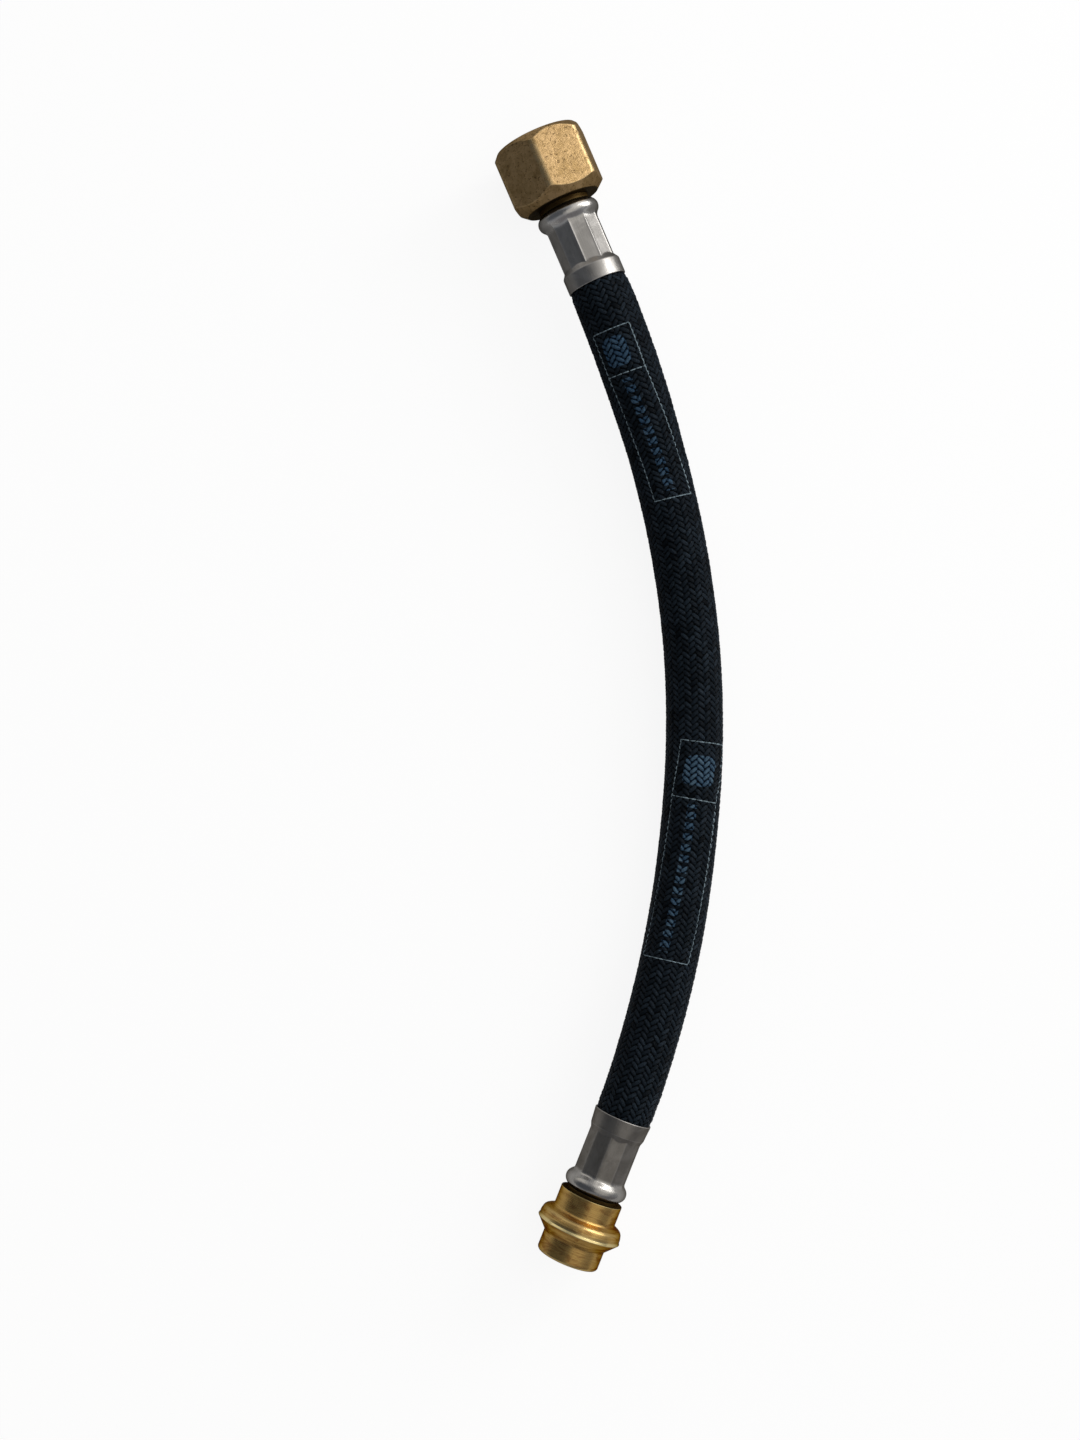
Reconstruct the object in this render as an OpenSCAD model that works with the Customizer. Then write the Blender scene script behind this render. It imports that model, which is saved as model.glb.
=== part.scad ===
// Hydraulic hose assembly: a braided hose with a swivel union nut at one end and a flanged
// spigot at the other, each held by a crimped ferrule. Millimetres, +Z up, lying on a table.
// The nut's axis is +Y. The origin is on that axis, where the nut's thread starts at the seal.

/* [Hose] */
// Bore of the inner tube
hose_bore = 9.5; // [9:0.1:10.5]
// Wall of the rubber inner tube
liner_wall = 1.6; // [1.2:0.1:2]
// Thickness of the wire braid
wire_wall = 0.6; // [0.4:0.1:0.9]
// Thickness of the textile braid
cover_wall = 0.95; // [0.6:0.05:1.3]

/* [Ferrules] */
// Length of a ferrule, from its mouth to its front face
ferrule_len = 23.2; // [22:0.1:26]
// Wall of a ferrule
ferrule_wall = 0.5; // [0.4:0.05:0.8]
// Room inside a ferrule ahead of the hose's end
front_room = 3.4; // [3.2:0.1:5]
// Length of the flared mouth that the hose comes out of
mouth_len = 4.6; // [3:0.1:6]
// Length of the taper between the mouth and the crimp
taper_len = 1.7; // [1.2:0.1:3]
// Depth to which the crimp presses the hose, on the radius
crimp_depth = 1.1; // [0.7:0.05:1.4]
// Number of crimp flats round a ferrule
crimp_flats = 10; // [8:1:12]
// Distance by which the rolled bead stands out from the crimp flats
bead_proud = 1.7; // [1:0.05:2.5]
// Radius of the bead's round section
bead_round = 2.35; // [1.8:0.05:2.4]

/* [Inserts] */
// Bore that the fluid flows through
flow_bore = 7; // [5:0.1:7.4]
// Height of a barb on the stem
barb_rise = 0.45; // [0.2:0.05:0.6]
// Distance by which a barb bites into the inner tube
barb_bite = 0.2; // [0.1:0.05:0.4]
// Number of barbs on a stem
barb_count = 6; // [3:1:6]
// Diameter of the neck that the ferrule's lip sits on
neck_d = 12.6; // [12.2:0.1:13.2]
// Diameter of the hub that the ferrule bears against
hub_d = 14.5; // [13.8:0.1:15.5]

/* [Nut] */
// Distance across the nut's flats
nut_af = 25; // [24:0.5:27]
// Distance from the inner end of the nut's thread to its mouth
nut_reach = 10.4; // [8:0.1:16]
// Wall behind the collar, which pulls on it
nut_back_wall = 3; // [2:0.1:5]
// Minor diameter of the nut's thread
thread_minor_d = 18.631; // [18:0.001:18.8]
// Depth of the thread on the radius
thread_depth = 1.162; // [0.8:0.001:1.2]
// Length of the countersink at the nut's mouth
mouth_chamfer = 1.2; // [0.6:0.1:2]
// Length of the bevel on the corners at the back of the nut
back_bevel = 3; // [1:0.1:6]
// Length of the bevel on the corners at the mouth of the nut
front_bevel = 2.4; // [1:0.1:6]
// Turn of the nut from standing on a corner, in degrees
nut_turn = 11.2; // [-30:0.1:30]
// Gap between the back of the nut and the ferrule
nut_gap = 1.3; // [1.3:0.1:2]
// Distance that the nut can slide back along the hose
nut_play = 1; // [0.5:0.1:1]

/* [Seal] */
// Outer diameter of the seal washer
seal_od = 19; // [18.8:0.1:20]
// Inner diameter of the seal washer
seal_id = 11.5; // [9:0.1:14]
// Thickness of the seal washer
seal_t = 2; // [1.5:0.1:3]
// Thickness of the collar inside the nut
nut_collar_t = 3; // [2:0.1:5]

/* [Spigot] */
// Gap between the collar of the spigot and the ferrule
spigot_gap = 0.8; // [0.6:0.1:2]
// Diameter of the collar
collar_d = 18.1; // [17:0.1:20]
// Length of the collar, up to the slope of the stop flange
collar_len = 5.7; // [4:0.1:9]
// Length of the steep face between the collar and the shoulder
shoulder_len = 1.2; // [0.5:0.1:3]
// Diameter of the shoulder, where the steep face turns into the slope of the stop flange
shoulder_d = 23; // [20:0.1:23.6]
// Length of the slope above the stop flange
over_slope = 1.7; // [1:0.1:5]
// Diameter of the stop flange
flange_d = 24.4; // [24:0.1:30]
// Width of the rim of the stop flange
flange_rim = 1.4; // [0.8:0.1:3]
// Length of the slope under the stop flange
under_slope = 3.4; // [1:0.1:4]
// Diameter of the spigot
spigot_d = 18; // [17:0.1:19]
// Length of the spigot below the slope
spigot_len = 5.8; // [4:0.1:15]
// Round on the end of the spigot
spigot_round = 1; // [0.3:0.1:1.5]
// Diameter of the hollow in the end of the spigot
hollow_d = 13.5; // [9:0.1:14.5]

/* [Hidden] */
$fn = 96;
eps = 0.01;
past = 1; // by which a cutter runs past the face it cuts

// Clearances
face_gap = 0.05;       // between faces that only rest on each other
hub_clearance = 0.08;  // radial, of the nut's back bore round the hub it spins on
pass_clearance = 0.2;  // radial, of what goes in through the nut's thread
relief_depth = 0.12;   // of the groove behind the thread, past the thread's own depth
crimp_bite = 0.05;     // of the crimp into the corners of the squeezed hose

// Radii of the hose's layers
bore_r = hose_bore / 2;
liner_r = bore_r + liner_wall;
wire_r = liner_r + wire_wall;
hose_r = wire_r + cover_wall;

// Stations along each end, measured outwards from the ferrule's mouth
hose_grip = ferrule_len - front_room;
neck_from = hose_grip + face_gap;
hub_from = ferrule_len + face_gap;
nut_back_at = ferrule_len + nut_gap;
nut_collar_from = nut_back_at + nut_back_wall + face_gap;
seal_seat_at = nut_collar_from + nut_collar_t;
seal_from = seal_seat_at + nut_play + face_gap;
thread_from = seal_from + seal_t + face_gap;
nut_mouth_at = thread_from + nut_reach;

// Ferrule
mouth_r = hose_r + face_gap;
crimp_r = hose_r - crimp_depth;
crimp_from = mouth_len + taper_len;
bead_at = ferrule_len - bead_round - face_gap;
bead_centre_r = crimp_r + ferrule_wall + bead_proud - bead_round;
bead_run_in = 0.9; // share of the bead's round at which the crimp flats end inside it
crimp_to = bead_at - bead_round * bead_run_in;

// Inserts
stem_tip = 1;
stem_chamfer = 0.6;
barbs_from = 2.4;
barb_land = 1.5; // plain length between the last barb and the neck
barbs_to = neck_from - barb_land;
barb_pitch = (barbs_to - barbs_from) / barb_count;
barb_top_r = bore_r + barb_bite;
barb_root_r = barb_top_r - barb_rise;
flow_r = flow_bore / 2;
neck_r = neck_d / 2;
hub_r = hub_d / 2;
nut_collar_r = thread_minor_d / 2 - pass_clearance;
seat_chamfer = 1;

// Nut
thread_minor_r = thread_minor_d / 2;
relief_r = thread_minor_r + thread_depth + relief_depth;
nut_corner_r = nut_af / 2 / cos(30);
back_step = 2; // of the nut's round back face, inside its flats
mouth_step = 0.7; // of the round face at its mouth
nut_back_r = nut_af / 2 - back_step;
nut_mouth_r = nut_af / 2 - mouth_step;

// Spigot, measured outwards from the ferrule's mouth
collar_from = ferrule_len + spigot_gap;
flange_r = flange_d / 2;
collar_r = collar_d / 2;
spigot_r = spigot_d / 2;
hollow_from = collar_from + collar_len;
shoulder_at = hollow_from + shoulder_len;
flange_from = shoulder_at + over_slope;
under_from = flange_from + flange_rim;
spigot_from = under_from + under_slope;
spigot_end = spigot_from + spigot_len;
hollow_cone = hollow_d / 2 - flow_r;

// Route of the hose between the two ferrules, from the mouth of the first one. The hose leaves
// both fittings level, sinks to the table between them, and bends to one side.
hose_exit = [0, -thread_from, 0];
route = [
    [0, 0, 0], [-1, -26.9, -1.6], [-3.6, -53, -4.5], [-8.4, -79, -5.7], [-15.8, -104.9, -5.7],
    [-25.7, -129.7, -5.7], [-37.8, -153.4, -5.7], [-51.8, -176.2, -4.8], [-67.9, -197.8, -2.6],
    [-85.3, -217.4, -1.2]
];
spigot_heading = 44.8; // of the hose into the second fitting, in degrees from the nut's axis
nut_way = [0, -1, 0];
spigot_way = [-sin(spigot_heading), -cos(spigot_heading), 0];
spans = len(route) - 1;
span_rings = 2; // rings of the hose in each span
sides = 12;     // of the hose's round section

function unit(v) = v / norm(v);

// Direction and pace of the route at its point i
function pace(i) =
    i == 0 ? nut_way * norm(route[1] - route[0])
    : i == spans ? spigot_way * norm(route[spans] - route[spans - 1])
    : (route[i + 1] - route[i - 1]) / 2;

// Point of the route, a share t of the way along span i
function route_point(i, t) =
    route[i] * (2 * pow(t, 3) - 3 * pow(t, 2) + 1)
    + pace(i) * (pow(t, 3) - 2 * pow(t, 2) + t)
    + route[i + 1] * (3 * pow(t, 2) - 2 * pow(t, 3))
    + pace(i + 1) * (pow(t, 3) - pow(t, 2));

// Direction of the route there
function route_way(i, t) = unit(
    (route[i] - route[i + 1]) * (6 * pow(t, 2) - 6 * t)
    + pace(i) * (3 * pow(t, 2) - 4 * t + 1)
    + pace(i + 1) * (3 * pow(t, 2) - 2 * t)
);

// Rings of the hose: [centre, direction, is it inside the crimp]. The ends inside the ferrules
// are straight, and narrow a little ahead of the ferrule's own taper.
lead = 0.4;
grip_rings = [[hose_grip, 1], [crimp_from - lead, 1], [mouth_len - lead, 0]];
hose_rings = concat(
    [for (g = grip_rings) [hose_exit - nut_way * g[0], nut_way, g[1]]],
    [for (i = [0 : spans - 1]) for (n = [0 : span_rings - 1])
        [hose_exit + route_point(i, n / span_rings), route_way(i, n / span_rings), 0]],
    [[hose_exit + route[spans], spigot_way, 0]],
    [for (g = [grip_rings[2], grip_rings[1], grip_rings[0]])
        [hose_exit + route[spans] + spigot_way * g[0], spigot_way, g[1]]]
);

// Radius of a layer, free or squeezed in proportion by the crimp
bore_corner_r = bore_r / cos(180 / sides);
squeeze = (crimp_r + crimp_bite - bore_corner_r) / (hose_r - bore_corner_r);
function layer_r(r, crimped) = crimped ? bore_corner_r + (r - bore_corner_r) * squeeze : r;

// Corner k of a ring, in the plane square to its direction
function ring_corner(ring, r, k) =
    let (
        side = unit(cross(ring[1], [0, 0, 1])),
        rise = cross(side, ring[1]),
        turn = 360 * k / sides
    )
    ring[0] + layer_r(r, ring[2]) * (side * cos(turn) + rise * sin(turn));

// Two triangles of the quadrilateral a, b, c, d
function quad(a, b, c, d) = [[a, b, c], [a, c, d]];

// One layer of the hose, swept along all its rings
module hose_layer(inner, outer) {
    last = len(hose_rings) - 1;
    points = [
        for (ring = hose_rings) for (r = [inner, outer]) for (k = [0 : sides - 1])
            ring_corner(ring, r, k)
    ];
    function at(n, wall, k) = (n * 2 + wall) * sides + k % sides;
    faces = concat(
        [for (n = [0 : last - 1]) for (k = [0 : sides - 1])
            each quad(at(n, 1, k), at(n, 1, k + 1), at(n + 1, 1, k + 1), at(n + 1, 1, k))],
        [for (n = [0 : last - 1]) for (k = [0 : sides - 1])
            each quad(at(n, 0, k), at(n + 1, 0, k), at(n + 1, 0, k + 1), at(n, 0, k + 1))],
        [for (k = [0 : sides - 1])
            each quad(at(0, 0, k), at(0, 0, k + 1), at(0, 1, k + 1), at(0, 1, k))],
        [for (k = [0 : sides - 1])
            each quad(at(last, 0, k), at(last, 1, k), at(last, 1, k + 1), at(last, 0, k + 1))]
    );
    polyhedron(points = points, faces = faces, convexity = 4);
}

module hose_liner() {
    color("#2a2a2c") hose_layer(bore_corner_r, liner_r);
}

module hose_wire_braid() {
    color("silver") hose_layer(liner_r, wire_r);
}

module hose_cover() {
    color("#15181e") hose_layer(wire_r, hose_r);
}

// Puts what is drawn along +Z from a ferrule's mouth on the nut's end of the hose
module at_nut_end() {
    translate(hose_exit) rotate([-90, 0, 0]) children();
}

// The same, on the spigot's end
module at_spigot_end() {
    translate(hose_exit + route[spans]) rotate([0, 0, -spigot_heading]) rotate([90, 0, 0]) children();
}

// Half section of what a ferrule fills, or of its hollow when inset is the wall
module ferrule_section(inset, start) {
    body_r = crimp_r + ferrule_wall - inset;
    rim_r = mouth_r + ferrule_wall - inset;
    polygon([
        [0, start], [rim_r, start], [rim_r, mouth_len],
        [body_r, crimp_from], [body_r, bead_at], [0, bead_at]
    ]);
    translate([bead_centre_r, bead_at]) circle(bead_round - inset);
    translate([0, bead_at]) square([bead_centre_r, ferrule_len - inset - bead_at]);
}

// A crimped sleeve: flared mouth, crimp flats, rolled bead and a lip round the insert's neck
module ferrule() {
    color("#a5a39e")
    difference() {
        union() {
            rotate_extrude() ferrule_section(0, 0);
            translate([0, 0, crimp_from])
                cylinder(
                    r = (crimp_r + ferrule_wall) / cos(180 / crimp_flats),
                    h = crimp_to - crimp_from,
                    $fn = crimp_flats
                );
        }
        rotate_extrude() ferrule_section(ferrule_wall, -past);
        translate([0, 0, bead_at]) cylinder(r = neck_r + face_gap, h = ferrule_len);
    }
}

module nut_ferrule() {
    at_nut_end() ferrule();
}

module spigot_ferrule() {
    at_spigot_end() ferrule();
}

// Half section of the barbed stem and the neck, up to the hub
function stem_points() = concat(
    [
        [flow_r, stem_tip], [barb_root_r - stem_chamfer / 2, stem_tip],
        [barb_root_r, stem_tip + stem_chamfer]
    ],
    [for (i = [0 : barb_count - 1]) each [
        [barb_root_r, barbs_from + i * barb_pitch],
        [barb_top_r, barbs_from + (i + 1) * barb_pitch]
    ]],
    [[barb_root_r, barbs_to], [barb_root_r, neck_from],
     [neck_r, neck_from], [neck_r, hub_from], [hub_r, hub_from]]
);

module nut_insert() {
    color("#b9913f")
    at_nut_end()
    rotate_extrude()
        polygon(concat(stem_points(), [
            [hub_r, nut_collar_from], [nut_collar_r, nut_collar_from], [nut_collar_r, seal_seat_at],
            [flow_r + seat_chamfer, seal_seat_at], [flow_r, seal_seat_at - seat_chamfer]
        ]));
}

// The spigot's insert: stem, collar, stop flange and spigot in one turned piece
module spigot_insert() {
    color("#a67f35")
    at_spigot_end()
    difference() {
        rotate_extrude()
            polygon(concat(stem_points(), [
                [hub_r, collar_from], [collar_r, collar_from], [collar_r, hollow_from],
                [shoulder_d / 2, shoulder_at], [flange_r, flange_from], [flange_r, under_from],
                [spigot_r, spigot_from],
                [spigot_r, spigot_end - spigot_round], [spigot_r - spigot_round, spigot_end],
                [flow_r, spigot_end]
            ]));
        translate([0, 0, hollow_from + hollow_cone])
            cylinder(r = hollow_d / 2, h = spigot_end - hollow_from);
        translate([0, 0, hollow_from])
            cylinder(r1 = flow_r, r2 = hollow_d / 2, h = hollow_cone + eps);
    }
}

// Flat washer between the collar and what the nut is screwed on
module seal_washer() {
    color("#3c3a38")
    at_nut_end()
    translate([0, 0, seal_from])
    difference() {
        cylinder(d = seal_od, h = seal_t);
        translate([0, 0, -past]) cylinder(d = seal_id, h = seal_t + 2 * past);
    }
}

// Hexagon nut: a back wall that turns on the hub, a chamber for the collar and the seal, and
// the threaded mouth, bored to the thread's minor diameter
module union_nut() {
    color("#c9a05a")
    at_nut_end()
    difference() {
        intersection() {
            translate([0, 0, nut_back_at]) rotate([0, 0, -90 - nut_turn])
                cylinder(r = nut_corner_r, h = nut_mouth_at - nut_back_at, $fn = 6);
            rotate_extrude()
                polygon([
                    [0, nut_back_at], [nut_back_r, nut_back_at],
                    [nut_corner_r + eps, nut_back_at + back_bevel],
                    [nut_corner_r + eps, nut_mouth_at - front_bevel],
                    [nut_mouth_r, nut_mouth_at], [0, nut_mouth_at]
                ]);
        }
        translate([0, 0, nut_back_at - past])
            cylinder(r = hub_r + hub_clearance, h = nut_back_wall + 2 * past);
        translate([0, 0, nut_back_at + nut_back_wall])
            cylinder(r = relief_r, h = thread_from - nut_back_at - nut_back_wall);
        translate([0, 0, thread_from - past]) cylinder(r = thread_minor_r, h = nut_reach + 2 * past);
        translate([0, 0, nut_mouth_at - mouth_chamfer])
            cylinder(r1 = thread_minor_r, r2 = thread_minor_r + thread_depth, h = mouth_chamfer + eps);
    }
}

union_nut();
seal_washer();
nut_insert();
nut_ferrule();
hose_liner();
hose_wire_braid();
hose_cover();
spigot_ferrule();
spigot_insert();
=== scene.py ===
"""Looks of a hydraulic hose assembly: braided hose, two crimped ferrules, swivel union nut, flanged spigot.

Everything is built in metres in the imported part's own frame. Sizes in the classes below are in millimetres
unless they say otherwise, and stations along a fitting run outwards from the mouth of its ferrule.
"""

from __future__ import annotations

import logging
import math
from dataclasses import dataclass
from enum import Enum
from functools import cache
from typing import NamedTuple, Sequence

import bpy
import numpy as np
from mathutils import Matrix, Vector

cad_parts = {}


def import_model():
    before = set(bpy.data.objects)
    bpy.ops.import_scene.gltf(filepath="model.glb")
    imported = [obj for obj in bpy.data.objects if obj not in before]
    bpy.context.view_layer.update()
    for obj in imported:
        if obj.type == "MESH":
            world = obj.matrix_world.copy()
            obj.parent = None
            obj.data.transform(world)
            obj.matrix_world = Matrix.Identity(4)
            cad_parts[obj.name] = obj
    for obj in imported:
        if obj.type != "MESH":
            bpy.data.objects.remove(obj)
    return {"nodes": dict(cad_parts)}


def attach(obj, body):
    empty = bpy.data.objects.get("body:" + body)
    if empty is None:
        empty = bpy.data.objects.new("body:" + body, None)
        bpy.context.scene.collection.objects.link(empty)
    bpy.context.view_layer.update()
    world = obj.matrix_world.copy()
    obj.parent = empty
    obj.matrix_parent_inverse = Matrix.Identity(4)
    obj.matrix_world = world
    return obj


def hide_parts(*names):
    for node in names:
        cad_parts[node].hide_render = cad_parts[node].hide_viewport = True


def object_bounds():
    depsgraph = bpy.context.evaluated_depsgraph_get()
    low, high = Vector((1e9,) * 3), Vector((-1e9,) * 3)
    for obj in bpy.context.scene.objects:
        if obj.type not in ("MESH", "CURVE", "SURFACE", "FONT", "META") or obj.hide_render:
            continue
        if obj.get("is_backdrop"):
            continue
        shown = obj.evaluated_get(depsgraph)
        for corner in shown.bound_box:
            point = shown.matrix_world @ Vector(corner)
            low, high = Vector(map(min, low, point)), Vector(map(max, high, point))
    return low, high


LOG = logging.getLogger("hose_assembly")

MM = 0.001
SKIN = "skin"  # vector attribute: station, arc round the axis and radius, in millimetres
EDGE = "edge"  # number attribute: 1 on the rounded edges of a metal piece, which are worn bright and carry a painted highlight
TONE = "tone"  # number attribute: how light a yarn is among its neighbours
CROWN = "crown"  # number attribute: 1 on top of a yarn, 0 where it dives; low values get painted shade
ACROSS = "across"  # number attribute: place across a yarn, from -1 to 1
ROUND_STEPS = 5  # points on each round of a piece's section
WEAR_AND_HIGHLIGHT_ROUND = 0.4  # round radius in millimetres up to which a round is fully worn bright with a painted highlight; larger rounds get less and less
MOST_CUT = 0.46  # share of a section's side that one round may take
SHORTEST = 1e-9  # side of a section, in millimetres, beside which no corner is rounded
NEAR = 0.01  # millimetres within which two radii count as the same

Pair = tuple[float, float]
Triple = tuple[float, float, float]
Colour = Triple
Band = Triple  # the stations of its two ends, and its least radius
Fade = tuple[float, float, float, float]  # two levels of what is read, and the result at each


class Lay(Enum):
    """Which way a yarn winds round the hose."""

    RIGHT = 1
    LEFT = -1


class Body(Enum):
    """The bodies that the pieces ride on."""

    HOSE = "hose"
    SEAL = "seal"
    NUT = "nut"


class Slot(Enum):
    """The record's material slots."""

    NUT = "nut_brass"
    INSERT = "insert_brass"
    FERRULE = "ferrule_steel"
    SEAL = "seal_rubber"
    LINER = "liner_rubber"
    WIRE = "braid_wire"
    COVER = "cover_textile"


def linear(hexed: str) -> Colour:
    """Turns a colour as written on screen into the shader's linear numbers.

    Args:
        hexed: six hexadecimal digits, red first.

    Returns:
        Linear red, green and blue, from 0 to 1.
    """
    out = []
    for at in (0, 2, 4):
        v = int(hexed[at : at + 2], 16) / 255
        out.append(v / 12.92 if v <= 0.04045 else ((v + 0.055) / 1.055) ** 2.4)
    return (out[0], out[1], out[2])


# ---------------------------------------------------------------------------------------------
# Shader building
# ---------------------------------------------------------------------------------------------


class Graph:
    """A node tree with short ways to add and join nodes."""

    MIX_COLOURS = (6, 7)  # the Mix node's colour inputs, which come after those of its other kinds
    MIX_RESULT = 2

    def __init__(self, tree: bpy.types.NodeTree) -> None:
        """Takes the tree that the nodes go into."""
        self.tree = tree

    def node(self, kind: str, **settings: object) -> bpy.types.Node:
        """Adds a node.

        Args:
            kind: the node's class name, without "ShaderNode" for a shader node.
            settings: properties to set on it.

        Returns:
            The new node.
        """
        name = kind if kind.startswith("Node") else "ShaderNode" + kind
        made = self.tree.nodes.new(name)
        for key, value in settings.items():
            setattr(made, key, value)
        return made

    def feed(self, socket: bpy.types.NodeSocket, value: object) -> None:
        """Links a socket to another, or sets its own value.

        Args:
            socket: the input to feed.
            value: a socket, colour, vector or number.
        """
        if isinstance(value, bpy.types.NodeSocket):
            self.tree.links.new(value, socket)
        elif isinstance(value, tuple) and socket.type == "RGBA":
            socket.default_value = (*value, 1.0)
        else:
            socket.default_value = value

    def math(self, operation: str, *values: object) -> bpy.types.NodeSocket:
        """Adds a Math node.

        Args:
            operation: what it does.
            values: its numbers or sockets.

        Returns:
            The result's socket.
        """
        made = self.node("Math", operation=operation)
        for socket, value in zip(made.inputs, values):
            self.feed(socket, value)
        return made.outputs[0]

    def plus(self, first: object, second: object) -> bpy.types.NodeSocket:
        """Returns the sum of two values."""
        return self.math("ADD", first, second)

    def minus(self, first: object, second: object) -> bpy.types.NodeSocket:
        """Returns the first value less the second."""
        return self.math("SUBTRACT", first, second)

    def times(self, first: object, second: object) -> bpy.types.NodeSocket:
        """Returns the product of two values."""
        return self.math("MULTIPLY", first, second)

    def over(self, first: object, second: object) -> bpy.types.NodeSocket:
        """Returns the first value divided by the second."""
        return self.math("DIVIDE", first, second)

    def larger(self, first: object, second: object) -> bpy.types.NodeSocket:
        """Returns the larger of two values."""
        return self.math("MAXIMUM", first, second)

    def below(self, first: object, second: object) -> bpy.types.NodeSocket:
        """Returns 1 where the first value is less than the second, otherwise 0."""
        return self.math("LESS_THAN", first, second)

    def above(self, first: object, second: object) -> bpy.types.NodeSocket:
        """Returns 1 where the first value is more than the second, otherwise 0."""
        return self.math("GREATER_THAN", first, second)

    def apart(self, first: object, second: object) -> bpy.types.NodeSocket:
        """Returns how far two values are apart."""
        return self.math("ABSOLUTE", self.minus(first, second))

    def wave(self, angle: object) -> bpy.types.NodeSocket:
        """Returns the size of an angle's sine."""
        return self.math("ABSOLUTE", self.math("SINE", angle))

    def ramp(
        self,
        value: object,
        low: object,
        high: object,
        start: object = 0.0,
        end: object = 1.0,
        smooth: bool = True,
    ) -> bpy.types.NodeSocket:
        """Maps a value between two limits to a range, clamped.

        Args:
            value: the number or socket to map.
            low: where the range starts.
            high: where it ends.
            start: the result at low.
            end: the result at high.
            smooth: whether the way between is an S curve.

        Returns:
            The mapped value's socket.
        """
        made = self.node("MapRange", interpolation_type="SMOOTHSTEP" if smooth else "LINEAR")
        numbers = {"Value": value, "From Min": low, "From Max": high, "To Min": start, "To Max": end}
        for name, number in numbers.items():
            self.feed(made.inputs[name], number)
        return made.outputs["Result"]

    def mix(self, factor: object, first: object, second: object) -> bpy.types.NodeSocket:
        """Mixes two colours.

        Args:
            factor: share of the second, from 0 to 1.
            first: a colour or its socket.
            second: another.

        Returns:
            The mixed colour's socket.
        """
        made = self.node("Mix", data_type="RGBA")
        self.feed(made.inputs[0], factor)
        for at, colour in zip(self.MIX_COLOURS, (first, second)):
            self.feed(made.inputs[at], colour)
        return made.outputs[self.MIX_RESULT]

    def noise(
        self, vector: object, scale: float, detail: float = 3.0, rough: float = 0.55, warp: float = 0.0
    ) -> bpy.types.NodeSocket:
        """Adds a 3-D noise.

        Args:
            vector: where it is read.
            scale: features per unit of the vector.
            detail: octaves.
            rough: how strong the finer octaves are.
            warp: distortion.

        Returns:
            The noise value's socket.
        """
        made = self.node("TexNoise", noise_dimensions="3D")
        values = {"Vector": vector, "Scale": scale, "Detail": detail, "Roughness": rough, "Distortion": warp}
        for name, value in values.items():
            self.feed(made.inputs[name], value)
        return made.outputs["Fac"]

    def stretch(self, vector: object, factors: Triple) -> bpy.types.NodeSocket:
        """Multiplies a vector part by part.

        Args:
            vector: the vector's socket.
            factors: what each part is multiplied by.

        Returns:
            The stretched vector's socket.
        """
        made = self.node("VectorMath", operation="MULTIPLY")
        self.feed(made.inputs[0], vector)
        self.feed(made.inputs[1], factors)
        return made.outputs[0]

    def parts(self, vector: object) -> bpy.types.NodeOutputs:
        """Takes a vector apart.

        Args:
            vector: the vector's socket.

        Returns:
            Sockets named X, Y and Z.
        """
        made = self.node("SeparateXYZ")
        self.feed(made.inputs[0], vector)
        return made.outputs

    def place(self, per_metre: float) -> bpy.types.NodeSocket:
        """Returns the object's coordinates, scaled to so many units to a metre."""
        return self.stretch(self.node("TexCoord").outputs["Object"], (per_metre, per_metre, per_metre))

    def attribute(self, name: str, output: str = "Fac") -> bpy.types.NodeSocket:
        """Reads a mesh attribute."""
        return self.node("Attribute", attribute_name=name).outputs[output]

    def effect(self, tree: bpy.types.NodeTree, **values: object) -> bpy.types.NodeOutputs:
        """Places a shared effect.

        Args:
            tree: the effect's node group.
            values: input values or sockets by name, with underscores for spaces.

        Returns:
            The effect's named sockets.
        """
        made = self.node("Group", node_tree=tree)
        for key, value in values.items():
            self.feed(made.inputs[key.replace("_", " ")], value)
        return made.outputs

    def bump(
        self, height: object, distance: float, strength: float = 1.0, under: object = None
    ) -> bpy.types.NodeSocket:
        """Adds a Bump node.

        Args:
            height: the height's socket.
            distance: what a height of 1 measures, in metres.
            strength: share of the effect.
            under: another normal to build on.

        Returns:
            The normal's socket.
        """
        made = self.node("Bump")
        self.feed(made.inputs["Distance"], distance)
        self.feed(made.inputs["Strength"], strength)
        self.feed(made.inputs["Height"], height)
        if under is not None:
            self.feed(made.inputs["Normal"], under)
        return made.outputs["Normal"]


class Group(Graph):
    """A node group of named inputs and value outputs, while its nodes are added."""

    def __init__(self, name: str, inputs: Sequence[tuple[str, str]], outputs: Sequence[str]) -> None:
        """Makes the group's tree and sockets.

        Args:
            name: the group's name.
            inputs: (socket name, socket kind) pairs.
            outputs: names of the value outputs.
        """
        super().__init__(bpy.data.node_groups.new(name, "ShaderNodeTree"))
        for label, kind in inputs:
            self.tree.interface.new_socket(name=label, in_out="INPUT", socket_type="NodeSocket" + kind)
        for label in outputs:
            self.tree.interface.new_socket(name=label, in_out="OUTPUT", socket_type="NodeSocketFloat")
        self.given = self.node("NodeGroupInput").outputs
        self._results = self.node("NodeGroupOutput").inputs

    def give(self, name: str, value: object) -> None:
        """Feeds one of the group's outputs."""
        self.feed(self._results[name], value)


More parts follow.
